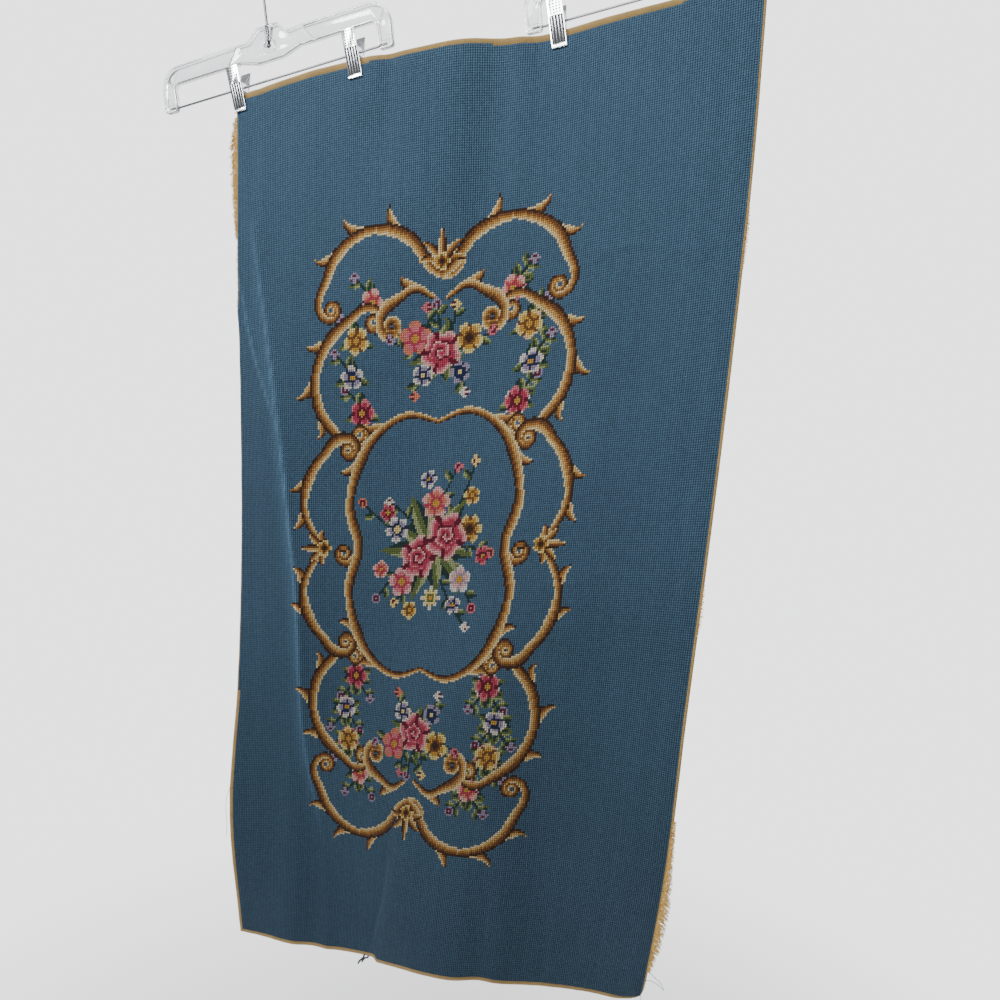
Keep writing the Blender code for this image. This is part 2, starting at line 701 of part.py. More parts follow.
def build():
    clear_scene()
    frame = add_empty("sheet_frame", Matrix.Translation(-seat_of(HANGERS[0]) * MM))
    add_object("canvas_panel", make_sheet(), make_material("canvas_panel", *WOOL), frame)
    rng = random.Random(FRAY_SEED)
    for fray in FRAYS:
        add_object(fray.name, make_fray(fray, rng), make_material(fray.name, *TAN_CANVAS), frame)

    inner_half = CLIP_HALF_WIDTH - CHEEK_THICKNESS - CLEARANCE
    shapes = {
        "front_jaw": turned_round(make_jaw("front", FRONT_LEAN, CLIP_HALF_WIDTH, True), "front_jaw"),
        "back_jaw": make_jaw("back_jaw", BACK_LEAN, inner_half, False),
        "spring": make_spring(),
    }
    body, rod, hook = make_hanger_body(), make_rod(), make_hook()
    for hanger in HANGERS:
        prefix = f"hanger_{hanger.side}"
        at = add_empty(f"{prefix}_frame", in_metres(hanger_frame(hanger)), frame)
        for piece, mesh, look in (("body", body, PLASTIC), ("rod", rod, STEEL), ("hook", hook, CHROME)):
            name = f"{prefix}_{piece}"
            add_object(name, mesh, make_material(name, *look), at)
        for number, clip_at in enumerate(hanger.clips_at, 1):
            prefix = f"clip_{hanger.side}_{number}"
            place = add_empty(f"{prefix}_frame", Matrix.Translation((clip_at * MM, 0, 0)), at)
            for piece, mesh in shapes.items():
                name = f"{prefix}_{piece}"
                add_object(name, mesh, make_material(name, *CHROME), place)


build()
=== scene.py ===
"""Looks of the needlepoint canvas panel that hangs from two clip hangers.

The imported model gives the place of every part. This script puts a finely stitched cloth, frayed
threads, clear plastic hangers, wire hooks and sprung metal clips in the place of its plain solids.
Sizes are in millimetres in the sheet's own frame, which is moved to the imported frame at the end.
+Z is up, +X runs to the right across the stitched face, and +Y points away from the viewer.
"""

import math
import random
from collections import namedtuple

import bmesh
import bpy
import numpy as np
from mathutils import Matrix, Vector


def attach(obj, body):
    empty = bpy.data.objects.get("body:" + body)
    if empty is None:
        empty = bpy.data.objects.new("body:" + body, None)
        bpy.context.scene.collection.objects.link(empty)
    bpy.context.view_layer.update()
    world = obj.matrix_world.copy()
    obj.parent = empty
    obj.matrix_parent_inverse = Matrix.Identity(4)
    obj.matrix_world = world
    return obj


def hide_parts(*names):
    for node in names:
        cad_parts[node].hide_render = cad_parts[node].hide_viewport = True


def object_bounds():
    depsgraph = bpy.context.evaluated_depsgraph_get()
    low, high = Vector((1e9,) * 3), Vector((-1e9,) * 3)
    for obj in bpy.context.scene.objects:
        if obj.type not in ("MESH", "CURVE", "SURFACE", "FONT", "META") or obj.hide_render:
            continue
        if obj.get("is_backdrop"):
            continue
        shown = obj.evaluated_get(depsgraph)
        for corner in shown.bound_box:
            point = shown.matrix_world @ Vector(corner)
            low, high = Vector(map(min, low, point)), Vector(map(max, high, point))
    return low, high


MM = 0.001

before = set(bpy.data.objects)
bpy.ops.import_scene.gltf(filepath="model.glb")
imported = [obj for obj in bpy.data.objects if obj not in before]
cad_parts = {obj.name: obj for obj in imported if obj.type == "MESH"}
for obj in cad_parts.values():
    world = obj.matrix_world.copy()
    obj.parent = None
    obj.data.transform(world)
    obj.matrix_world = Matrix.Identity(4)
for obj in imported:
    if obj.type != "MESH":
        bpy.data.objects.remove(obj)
cad_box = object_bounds()

# Sheet. A section is a level line across it. down is its share of the height, left and right are
# the two edges, and depths say how far back it lies at nine even stations across.
Section = namedtuple("Section", "down left right depths")
SECTIONS = (
    Section(0.00, -297, 302, (-10, -14, -19, -14, -8, 14, 16, 16, 15)),
    Section(0.17, -296, 305, (-6, -12, -14, -12, 3, 13, 11, 10, 9)),
    Section(0.33, -296, 303, (0, -10, -2, 7, 12, 10, 6, 4, -3)),
    Section(0.50, -298, 299, (6, 1, 9, 15, 9, -5, -12, -15, -25)),
    Section(0.67, -300, 292, (3, 8, 18, 12, -9, -20, -12, -12, -32)),
    Section(0.83, -302, 285, (-10, 9, 17, 4, -20, -23, 0, -1, -9)),
    Section(1.00, -298, 266, (10, 9, 11, 6, -24, -23, 11, 28, 35)),
)

# A station is an upright line. top and bottom are the heights of the edges there, and bow is
# how much higher its middle lies than halfway between them.
Station = namedtuple("Station", "across top bottom bow")
STATIONS = (
    Station(0.000, 512, -603, 10),
    Station(0.125, 526, -595, 9),
    Station(0.250, 537, -588, 6),
    Station(0.375, 546, -576, 4),
    Station(0.500, 556, -554, 0),
    Station(0.625, 562, -547, 6),
    Station(0.750, 575, -554, 15),
    Station(0.875, 587, -553, 19),
    Station(1.000, 600, -555, 25),
)

# A fold is a crest towards the viewer, or a valley where its height is below zero. path gives
# (down, across) along its line, and left and right are the widths of its two flanks.
Fold = namedtuple("Fold", "path height left right")
FOLDS = (
    Fold(((0.03, 0.005), (0.17, 0.040), (0.34, 0.103), (0.52, 0.145), (0.72, 0.168), (0.84, 0.215)),
         6, 46, 34),
    Fold(((0.20, -0.03), (0.28, 0.050), (0.36, 0.100)), 3, 12, 9),
    Fold(((-0.12, 0.045), (0.16, 0.042)), -3, 16, 13),
    Fold(((-0.12, 0.335), (0.20, 0.325)), -4, 40, 16),
    Fold(((-0.16, 0.552), (0.24, 0.525)), -9, 28, 24),
    Fold(((0.74, 0.420), (0.86, 0.435), (0.95, 0.415), (1.12, 0.340)), 7, 11, 28),
    Fold(((0.84, 0.640), (1.16, 0.660)), -6, 20, 16),
    Fold(((0.76, 0.130), (0.90, 0.155), (1.16, 0.140)), 5, 34, 18),
    # Finer creases than the solid has
    Fold(((0.05, 0.010), (0.34, 0.105), (0.55, 0.149), (0.74, 0.172), (0.86, 0.225)), 3.8, 6, 8),
    Fold(((0.80, 0.405), (0.90, 0.402), (1.10, 0.345)), -2.2, 7, 5),
    Fold(((0.84, 0.225), (0.95, 0.245), (1.12, 0.250)), 1.8, 12, 10),
    Fold(((0.82, 0.745), (0.92, 0.770), (1.06, 0.790)), -1.0, 9, 9),
    Fold(((-0.10, 0.215), (0.13, 0.205)), -1.2, 12, 12),
)

# A crease runs nearly level: down and across where it starts and ends, its height and half width.
Crease = namedtuple("Crease", "down start end height width")
CREASES = (
    Crease(0.228, 0.62, 0.97, 0.7, 5.0),
    Crease(0.545, 0.66, 0.99, 0.6, 6.0),
    Crease(0.395, 0.00, 0.10, 0.6, 6.0),
)

# Sharp creases along which the yarn colour is painted paler: a painted highlight for the light these creases
# catch. Each gives the line's path as (down, across), how wide the painted highlight is to each side, and
# how pale it is.
CreaseHighlight = namedtuple("CreaseHighlight", "path width strength")
PAINTED_CREASE_HIGHLIGHTS = (
    CreaseHighlight(((0.13, 0.035), (0.22, 0.067), (0.34, 0.105), (0.55, 0.149), (0.74, 0.172), (0.86, 0.222)),
           2.2, 0.85),
    CreaseHighlight(((0.13, 0.030), (0.22, 0.060), (0.34, 0.096), (0.55, 0.140), (0.74, 0.165), (0.86, 0.214)),
           9.0, 0.26),
    CreaseHighlight(((0.19, 0.000), (0.27, 0.040), (0.37, 0.108)), 2.2, 0.60),
    CreaseHighlight(((0.87, 0.412), (0.95, 0.388), (1.03, 0.350)), 2.4, 0.30),
)

SHEET_WIDTH = SECTIONS[0].right - SECTIONS[0].left
MIDDLE = STATIONS[len(STATIONS) // 2]
SHEET_HEIGHT = MIDDLE.top - MIDDLE.bottom

# The lower right corner rolls to the back
CURL_REACH = 27.0
CURL_RADIUS = 26.0

# A clip holds the sheet flat this far to each side of its middle and below the rod, and the hold
# fades out over these distances.
HELD_BESIDE = 14.0
HELD_BELOW = 34.0
FADE_BESIDE = 30.0
FADE_BELOW = 50.0

FIELD_THICKNESS = 2.0
HEM_THICKNESS = 3.0
HEM_STITCHES = 12

# Hangers: where the rod lies under the hook, how the rod climbs to the right and turns back,
# and where its two clips sit along it.
Hanger = namedtuple("Hanger", "side rod_at climb_deg turn_deg clips_at")
HANGERS = (
    Hanger("left", (-244.6, -10.8, 526.9), 9.05, -2.7, (-49.0, 111.5)),
    Hanger("right", (214.4, 16.8, 593.0), 9.25, -0.8, (-126.0, 72.0)),
)
CLEARANCE = 0.3
ROD_RADIUS = 1.25
ROD_HALF_LENGTH = 154.0
WIRE_RADIUS = 1.5
HOOK_HEAD_RADIUS = 3.0
HOOK_HEAD_Z = 36.0
HOOK_HEAD_HEIGHT = 2.5
HOOK_STRAIGHT_TO = 92.0
CROOK_RADIUS = 20.0
CROOK_CENTRE_Z = 130.0
CROOK_END_DEG = 215.0
CLIP_HALF_WIDTH = 8.25
CLIP_BOTTOM = -26.5
CLIP_TOP = 23.0
GRIP = HEM_THICKNESS / 2 + CLEARANCE
PAD_HEIGHT = 3.5
JAW_THICKNESS = 1.0
JAW_SWELL = 0.4
FRONT_LEAN = 8.2
BACK_LEAN = 13.5
SPRING_WIRE = 0.5
SPRING_TURNS = 3
SPRING_PITCH = 1.7
SPRING_LEG_Z = 11.0
JAW_RIB_LENGTH = 27.0


def smooth_curve(knots, values, at):
    """A smooth curve through values at rising knots, for each number in at. values may hold one
    row for each of those numbers, or one row for all."""
    knots, at = np.asarray(knots, float), np.asarray(at, float)
    values = np.broadcast_to(np.asarray(values, float), (*at.shape, len(knots)))
    slopes = np.gradient(values, knots, axis=-1)
    i = np.clip(np.searchsorted(knots, at) - 1, 0, len(knots) - 2)[..., None]
    span = (knots[1:] - knots[:-1])[i[..., 0]]
    t = (at - knots[i[..., 0]]) / span

    def pick(rows, k):
        return np.take_along_axis(rows, k, -1)[..., 0]

    start = (1 + 2 * t) * (1 - t) ** 2 * pick(values, i) + t * (1 - t) ** 2 * span * pick(slopes, i)
    end = t * t * (3 - 2 * t) * pick(values, i + 1) - t * t * (1 - t) * span * pick(slopes, i + 1)
    return start + end


def ease(t):
    t = np.clip(t, 0.0, 1.0)
    return t * t * (3 - 2 * t)


def beside_line(path, across, down):
    """How far across from a line each place is, and a swell from 0 at the line's ends to 1."""
    downs, places = zip(*path)
    first, last = downs[0], downs[-1]
    swell = np.sin(np.pi * np.clip((down - first) / (last - first), 0, 1))
    return across - smooth_curve(downs, places, np.clip(down, first, last)), swell


def fold_height(fold, across, down, width):
    """How far a fold lifts the sheet towards the viewer at each place."""
    offset, swell = beside_line(fold.path, across, down)
    flank = np.where(offset < 0, fold.left, fold.right) / width
    return fold.height * swell ** 0.8 * np.exp(-((offset / flank) ** 2))


def crease_height(crease, across, down, height):
    """How far a level crease lifts the sheet at each place."""
    share = np.clip((across - crease.start) / (crease.end - crease.start), 0, 1)
    offset = (down - crease.down - 0.008 * np.sin(9 * share)) * height
    return crease.height * np.sin(np.pi * share) * np.exp(-((offset / crease.width) ** 2))


PUCKER = 0.5
PUCKER_WAVES = 26
TALL_TO_WIDE = 1.85


def pucker(across, down):
    """The uneven pull of the stitches, a few tenths of a millimetre."""
    rng = random.Random(11)
    total = np.zeros_like(across)
    for _ in range(PUCKER_WAVES):
        waves, turn = rng.uniform(6, 26), rng.uniform(0, 2 * math.pi)
        angle = rng.gauss(math.pi / 2, 0.9)
        along = across * math.sin(angle) + TALL_TO_WIDE * down * math.cos(angle)
        total += np.sin(2 * math.pi * waves * along + turn) / waves
    return PUCKER * total


def wear(across, down):
    """How much painted highlight the yarn gets at each place, along the sharp creases."""
    total = np.zeros(np.broadcast(across, down).shape)
    for line in PAINTED_CREASE_HIGHLIGHTS:
        offset, swell = beside_line(line.path, across, down)
        total += line.strength * swell ** 0.6 * np.exp(-((offset * SHEET_WIDTH / line.width) ** 2))
    return total


def hanger_frame(hanger):
    """Where a hanger's own axes lie: X along its rod, Z up its hook, the rod at the origin."""
    turn = Matrix.Rotation(math.radians(hanger.turn_deg), 4, "Z")
    climb = Matrix.Rotation(math.radians(-hanger.climb_deg), 4, "Y")
    return Matrix.Translation(Vector(hanger.rod_at)) @ turn @ climb


def clip_hold(x, y, z):
    """How firmly the nearest clip holds the sheet at each place, and at what depth."""
    hold, depth = np.zeros_like(x), np.zeros_like(x)
    for hanger in HANGERS:
        inverse = hanger_frame(hanger).inverted()
        local_x, local_z = (a * x + b * y + c * z + d for a, b, c, d in (inverse[0], inverse[2]))
        slope = math.tan(math.radians(hanger.turn_deg))
        held_at = hanger.rod_at[1] + (x - hanger.rod_at[0]) * slope - HEM_THICKNESS / 2
        for clip_at in hanger.clips_at:
            beside = 1 - ease((np.abs(local_x - clip_at) - HELD_BESIDE) / FADE_BESIDE)
            below = 1 - ease((-local_z - HELD_BELOW) / FADE_BELOW)
            firmer = beside * below > hold
            hold = np.where(firmer, beside * below, hold)
            depth = np.where(firmer, held_at, depth)
    return hold, depth


def sheet_front(across, down):
    """Points of the stitched face, with across and down running from 0 to 1."""
    across, down = np.broadcast_arrays(np.asarray(across, float), np.asarray(down, float))
    downs, lefts, rights, depths = zip(*SECTIONS)
    acrosses, tops, bottoms, bows = zip(*STATIONS)
    left, right = smooth_curve(downs, lefts, down), smooth_curve(downs, rights, down)
    depths = np.stack([smooth_curve(downs, column, down) for column in zip(*depths)], -1)
    top, bottom, bow = (smooth_curve(acrosses, heights, across) for heights in (tops, bottoms, bows))

    x = left + (right - left) * across
    z = top + (bottom - top) * down + bow * 4 * down * (1 - down)
    y = smooth_curve(acrosses, depths, across) - pucker(across, down)
    for fold in FOLDS:
        y = y - fold_height(fold, across, down, right - left)
    for crease in CREASES:
        y = y - crease_height(crease, across, down, top - bottom)
    hold, held_at = clip_hold(x, y, z)
    y = y + hold * (held_at - y)
    return roll_corner(x, y, z, (1 - across) * (right - left), (1 - down) * (top - bottom))


def roll_corner(x, y, z, from_right, from_bottom):
    """Rolls the lower right corner back round a slanting line."""
    inside = np.maximum(CURL_REACH - (from_right + from_bottom) * math.sqrt(0.5), 0)
    turned = inside / CURL_RADIUS
    drawn_in = (inside - CURL_RADIUS * np.sin(turned)) * math.sqrt(0.5)
    return np.stack([x - drawn_in, y + CURL_RADIUS * (1 - np.cos(turned)), z + drawn_in], -1)


STEP = 0.004


def sheet_directions(across, down):
    """The directions across and down the sheet and straight back from its face, at one place."""
    a0, a1 = max(across - STEP, 0), min(across + STEP, 1)
    d0, d1 = max(down - STEP, 0), min(down + STEP, 1)
    sideways = Vector(sheet_front(a1, down) - sheet_front(a0, down)).normalized()
    downwards = Vector(sheet_front(across, d1) - sheet_front(across, d0)).normalized()
    return sideways, downwards, sideways.cross(downwards).normalized()


def seat_of(hanger):
    """Where a rail would touch the inside of a hanger's crook, in the sheet's own frame."""
    crest = CROOK_CENTRE_Z + CROOK_RADIUS - WIRE_RADIUS
    return hanger_frame(hanger) @ Vector((0, 0, crest))


SHEET_TO_FRAME = Matrix.Scale(MM, 4) @ Matrix.Translation(-seat_of(HANGERS[0]))


# The stitched design, one colour for each stitch. x counts columns from the left edge and y
# counts rows from the top edge.
COLUMNS = 250
ROWS = 440
CENTRE_COLUMN = 113
CENTRE_ROW = 223
DESIGN_COLUMNS = (34, 192)
DESIGN_ROWS = (66, 380)

# Yarn colours as the eye sees them, 0 to 255
YARNS = {
    "field": (73, 102, 126),
    "cream": (232, 208, 156),
    "light_gold": (208, 164, 96),
    "gold": (170, 118, 58),
    "brown": (118, 76, 42),
    "umber": (64, 42, 30),
    "blush": (231, 176, 170),
    "pink": (212, 118, 128),
    "rose": (182, 62, 84),
    "wine": (104, 26, 48),
    "straw": (232, 208, 134),
    "ochre": (200, 150, 64),
    "sage": (158, 166, 116),
    "olive": (98, 112, 62),
    "pine": (36, 58, 58),
    "white": (224, 218, 206),
    "lilac": (156, 144, 168),
    "navy": (30, 42, 78),
    "coral": (214, 128, 100),
}
YARN_NUMBER = {name: number for number, name in enumerate(YARNS)}
GOLD_BAND = ("umber", "brown", "gold", "light_gold", "cream")
GREEN_BAND = ("pine", "olive", "sage")
STITCH_Y, STITCH_X = np.mgrid[0:ROWS, 0:COLUMNS] + 0.5


def near(x, y, reach):
    """The part of the chart within reach of a place, and how far across and down each stitch is."""
    rows = slice(max(int(y - reach), 0), min(int(y + reach) + 1, ROWS))
    part = rows, slice(max(int(x - reach), 0), min(int(x + reach) + 1, COLUMNS))
    return part, STITCH_X[part] - x, STITCH_Y[part] - y


def numbers_of(yarns):
    return np.array([YARN_NUMBER[yarn] for yarn in yarns])


def stitch_band(chart, path, widths, yarns, flip=1):
    """Stitches a band along a path, shaded with yarns from one side to the other."""
    half = np.interp(np.linspace(0, 1, len(path)), np.linspace(0, 1, len(widths)), widths) / 2
    tangent = np.gradient(path, axis=0)
    tangent /= np.maximum(np.linalg.norm(tangent, axis=1), 1e-6)[:, None]
    nearest, side = np.full(chart.shape, 9.0), np.zeros(chart.shape)
    for (x, y), (tx, ty), reach in zip(path, tangent, half):
        part, dx, dy = near(x, y, reach + 1)
        distance = np.hypot(dx, dy) / reach
        closer = distance < nearest[part]
        nearest[part] = np.where(closer, distance, nearest[part])
        side[part] = np.where(closer, (dx * ty - dy * tx) * flip / reach, side[part])
    shade = np.clip(((side + 1) / 2 * len(yarns)).astype(int), 0, len(yarns) - 1)
    chart[nearest < 1] = numbers_of(yarns)[shade[nearest < 1]]


def turning_path(start, heading, length, first_bend, last_bend, power=1.0):
    """A path that bends more, or less, as it goes."""
    count = max(int(length * 2), 8)
    share = ((np.arange(count) + 0.5) / count) ** power
    angle = heading + np.cumsum(first_bend + (last_bend - first_bend) * share) * length / count
    steps = np.stack([np.cos(angle), np.sin(angle)], 1) * length / count
    return np.asarray(start, float) + np.cumsum(steps, axis=0)


def smooth_path(points):
    points = np.asarray(points, float)
    gaps = np.linalg.norm(np.diff(points, axis=0), axis=1)
    along = np.concatenate([[0], np.cumsum(gaps)])
    at = np.linspace(0, along[-1], int(along[-1] * 2))
    return np.stack([smooth_curve(along, points[:, k], at) for k in (0, 1)], 1)


def heading_at(path, i):
    i = min(max(i, 1), len(path) - 1)
    return math.atan2(path[i][1] - path[i - 1][1], path[i][0] - path[i - 1][0])


FLAME_WIDTHS = (5.0, 5.5, 3.5, 0.9)


def stitch_flame(chart, path, share, lean, length):
    """A curling leaf that grows from a scroll and tapers to a point. lean is its side, -1 or 1."""
    i = int(share * (len(path) - 1))
    start = heading_at(path, i) + lean * 0.45
    leaf = turning_path(path[i], start, length, lean * 0.02, lean * 0.20, 1.6)
    stitch_band(chart, leaf, FLAME_WIDTHS, GOLD_BAND, -lean)


# A scroll's widths, in stitches, at even places along it, and the length of a wound end
SCROLL_WIDTHS = (2.2, 3.525, 4.23, 6.11, 4.7, 5.875, 4.23, 3.525, 2.2)
CURL_LENGTH = 44


def wound_end(path, heading, side):
    """The curl that a scroll's end winds to, or nothing where side is 0."""
    if not side:
        return path[:0]
    return turning_path(path[-1], heading, CURL_LENGTH, side * 0.06, side * 0.50, 1.3)


def stitch_scroll(chart, scroll, cx, cy):
    """A gold scroll with flames, placed from the design's centre."""
    path = smooth_path([(cx + x, cy + y) for x, y in scroll.points])
    for share, side, length in scroll.leaves:
        stitch_flame(chart, path, share, side, length)
    first = wound_end(path[:1], heading_at(path, 1) + math.pi, scroll.curls[0])
    last = wound_end(path[-1:], heading_at(path, len(path) - 1), scroll.curls[1])
    stitch_band(chart, np.concatenate([first[::-1], path, last]), SCROLL_WIDTHS, GOLD_BAND, scroll.flip)


def stitch_leaf(chart, x, y, heading_deg, length, width):
    """A pointed leaf, light on one half and dark on the other, with a vein."""
    part, dx, dy = near(x, y, length + 2)
    a = math.radians(heading_deg)
    along = (dx * math.cos(a) + dy * math.sin(a)) / length
    across = (-dx * math.sin(a) + dy * math.cos(a)) / (width / 2)
    inside = (along > 0) & (along < 1) & (np.abs(across) < np.sin(np.pi * np.clip(along, 0, 1) ** 0.8))
    shade = np.where(across > 0.2, 0, np.where(across > -0.35, 1, 2))
    chart[part] = np.where(inside, numbers_of(GREEN_BAND)[shade], chart[part])


def stitch_flower(chart, x, y, radius, petals, yarns, turn=0.0, centre="ochre"):
    """An open flower. yarns run from its rim inwards."""
    part, dx, dy = near(x, y, radius + 2)
    distance, angle = np.hypot(dx, dy) / radius, np.arctan2(dy, dx) + turn
    share = distance / (0.74 + 0.26 * np.abs(np.cos(petals * angle / 2)))
    shade = np.clip(((1 - share) * (len(yarns) + 0.6)).astype(int), 0, len(yarns) - 1)
    crease = (np.abs(np.sin(petals * angle / 2)) > 0.93) & (share > 0.4)
    shade = np.where(crease, len(yarns) - 1, shade)
    chart[part] = np.where(share < 1, numbers_of(yarns)[shade], chart[part])
    chart[part] = np.where(distance < 0.24, YARN_NUMBER[centre], chart[part])


def stitch_rose(chart, x, y, radius, turn=0.0):
    """A full rose: broad outer petals round a wound heart."""
    part, dx, dy = near(x, y, radius + 2)
    angle = np.arctan2(dy, dx) + turn
    share = np.hypot(dx, dy) / radius / (0.90 + 0.10 * np.cos(5 * angle))
    gap = np.abs(np.sin(2.5 * angle + 0.9)) > 0.94
    outer = np.where(gap, 3, np.where(share > 0.86, 0, np.where(share > 0.72, 1, 2)))
    wound = (share * 2.6 + angle / (2 * math.pi)) % 1.0
    heart = np.where(wound < 0.26, 3, np.where(wound < 0.62, 2, np.where(wound < 0.85, 1, 0)))
    shade = np.where(share > 0.56, outer, heart)
    yarns = numbers_of(("blush", "pink", "rose", "wine"))
    chart[part] = np.where(share < 1, yarns[shade], chart[part])


def stitch_sprig(chart, x, y, heading_deg, length, bend, bud="pink", leaves=3):
    """A fine stem with small leaves on both sides and a bud at its tip."""
    path = turning_path((x, y), math.radians(heading_deg), length, bend, bend)
    stitch_band(chart, path, (1.5, 1.2), ("pine",))
    for k in range(1, leaves + 1):
        i = int(len(path) * k / (leaves + 1))
        facing = math.degrees(heading_at(path, i))
        stitch_leaf(chart, *path[i], facing + (55 if k % 2 else -55), 6.5, 3.6)
    stitch_flower(chart, *path[-1], 2.7, 4, (bud, bud, "wine"), centre=bud)


# Gold scrolls of the upper left quarter, as places from the design's centre. curls say to which
# side the two ends wind, and leaves are (share along it, side, length).
Scroll = namedtuple("Scroll", "points curls leaves flip")
SCROLLS = (
    Scroll(((-6, -131), (-15, -143), (-33, -149), (-52, -141), (-62, -124)), (-1, -1),
           ((0.30, 1, 13), (0.55, 1, 13), (0.78, 1, 12)), 1),
    Scroll(((-44, -112), (-57, -102), (-65, -86), (-63, -68), (-52, -54)), (1, -1),
           ((0.28, 1, 12), (0.55, 1, 13), (0.80, 1, 11)), 1),
    Scroll(((-58, -50), (-67, -38), (-71, -22), (-66, -8), (-58, 0)), (1, 0),
           ((0.35, 1, 10), (0.62, 1, 10)), 1),
    Scroll(((0, -60), (-16, -64), (-32, -56), (-43, -38), (-46, -18), (-42, -5)), (0, 1),
           ((0.34, 1, 12), (0.58, 1, 11)), -1),
    Scroll(((-3, -116), (-12, -121), (-24, -116)), (0, -1), ((0.5, 1, 9),), -1),
)


def stitch_frame(chart):
    """The gold frame: its upper left quarter, repeated on the other side and below."""
    cx, cy = CENTRE_COLUMN, CENTRE_ROW
    for scroll in SCROLLS:
        stitch_scroll(chart, scroll, cx, cy)
    wide, high = DESIGN_COLUMNS[1] - cx, cy - DESIGN_ROWS[0]
    left, upper = chart[:, cx - wide:cx][:, ::-1], chart[cy - high:cy][::-1]
    for done, other in ((left, chart[:, cx:cx + wide]), (upper, chart[cy:cy + high])):
        other[...] = np.where(done != YARN_NUMBER["field"], done, other)


def stitch_palmette(chart, x, y, facing_deg, size):
    """A fan of gold leaves round a small boss."""
    for k in (-2, 2, -1, 1, 0):
        heading = math.radians(facing_deg + 31 * k)
        leaf = turning_path((x, y), heading, size - 1.6 * abs(k), 0.03 * k, 0.05 * k)
        stitch_band(chart, leaf, (3.0, 4.6, 3.4, 1.0), GOLD_BAND)
    stitch_flower(chart, x, y, 4.2, 5, ("straw", "ochre", "brown"), centre="umber")


# Sprigs and leaves of a spray, round its rose
Sprig = namedtuple("Sprig", "heading_deg length bend bud")
SPRAY_SPRIGS = (
    Sprig(0, 27, 0.02, "pink"), Sprig(180, 27, -0.02, "lilac"), Sprig(52, 22, 0.03, "straw"),
    Sprig(128, 22, -0.03, "pink"), Sprig(-35, 24, -0.03, "white"), Sprig(215, 24, 0.03, "coral"),
    Sprig(90, 22, 0.01, "lilac"),
)
SPRAY_LEAVES = ((20, 16), (75, 15), (140, 16), (195, 17), (250, 14), (320, 17), (285, 15), (165, 13))

# Open flowers, placed from the middle of their spray or bouquet
Bloom = namedtuple("Bloom", "x y radius petals yarns turn centre")
SPRAY_BLOOMS = (
    Bloom(-13, 7, 8.0, 5, ("coral", "pink", "rose"), 0.3, "ochre"),
    Bloom(14, 5, 7.4, 5, ("straw", "ochre", "brown"), 0.9, "umber"),
    Bloom(-9, -10, 5.6, 5, ("white", "lilac", "navy"), 0.1, "straw"),
    Bloom(10, -10, 5.4, 5, ("lilac", "navy"), 0.6, "straw"),
)
BOUQUET_BUDS = ("pink", "white", "straw", "lilac", "coral", "white", "pink", "straw", "coral")
BOUQUET_BLOOMS = (
    Bloom(1, -21, 8.0, 5, ("blush", "coral", "rose"), 0.2, "ochre"),
    Bloom(-20, -9, 6.6, 5, ("white", "lilac", "navy"), 0.8, "straw"),
    Bloom(21, -8, 7.2, 6, ("straw", "ochre", "brown"), 0.0, "umber"),
    Bloom(-16, 17, 7.6, 5, ("blush", "pink", "rose"), 0.5, "ochre"),
    Bloom(18, 16, 6.6, 5, ("white", "blush", "lilac"), 0.3, "ochre"),
    Bloom(2, 25, 5.8, 8, ("white", "straw", "olive"), 0.0, "ochre"),
)
GARLAND_YARNS = (
    ("pink", "rose", "wine"), ("white", "lilac", "navy"),
    ("straw", "ochre", "brown"), ("blush", "coral", "rose"),
)


def stitch_blooms(chart, x, y, blooms, up=1):
    for bloom in blooms:
        stitch_flower(chart, x + bloom.x, y + bloom.y * up, *bloom[2:])


def stitch_spray(chart, x, y, up):
    """A spray of a rose, open flowers, leaves and buds. up is -1 or 1."""
    for sprig in SPRAY_SPRIGS:
        stitch_sprig(chart, x, y, sprig.heading_deg * up, sprig.length, sprig.bend * up, sprig.bud)
    for heading, length in SPRAY_LEAVES:
        stitch_leaf(chart, x, y, heading * up, length, 7)
    stitch_blooms(chart, x, y, SPRAY_BLOOMS, up)
    stitch_rose(chart, x, y, 10.5, 0.4 * up)


def stitch_bouquet(chart, x, y):
    """The bouquet in the middle."""
    for k, bud in enumerate(BOUQUET_BUDS):
        stitch_sprig(chart, x, y, 40 * k + 34, 34 + 6 * ((k + 1) % 3), 0.012 * (-1) ** k, bud, 4)
    for k in range(11):
        stitch_leaf(chart, x, y, 33 * k + 12, 29 if k % 2 else 24, 9)
    for k in range(7):
        angle, yarns = math.radians(51 * k + 8), GARLAND_YARNS[k % len(GARLAND_YARNS)]
        stitch_flower(chart, x + 30 * math.cos(angle), y + 33 * math.sin(angle), 4.6, 5, yarns, 0.5 * k)
    stitch_blooms(chart, x, y, BOUQUET_BLOOMS)
    stitch_rose(chart, x - 7, y + 5, 11.0, 0.2)
    stitch_rose(chart, x + 8, y - 5, 12.0, 1.1)


def stitch_garlands(chart, cx, cy):
    """Runs of small flowers and leaves inside the long sides of the frame."""
    for side in (-1, 1):
        for up in (-1, 1):
            for k in range(4):
                x = cx + side * (33 + 13 * math.sin(0.8 * k + 0.6))
                y = cy + up * (66 + 17 * k)
                for heading in (70 * side + 90, 90 - 70 * side, -90, -20 * side):
                    stitch_leaf(chart, x, y, heading, 10, 5)
                stitch_sprig(chart, x, y, 90 * up + 25 * side, 15, 0.03 * side, "lilac", 2)
                yarns = GARLAND_YARNS[(k + (side > 0) + 2 * (up > 0)) % len(GARLAND_YARNS)]
                stitch_flower(chart, x, y, 6.0 if k % 2 else 6.8, 5, yarns, 0.4 * k)


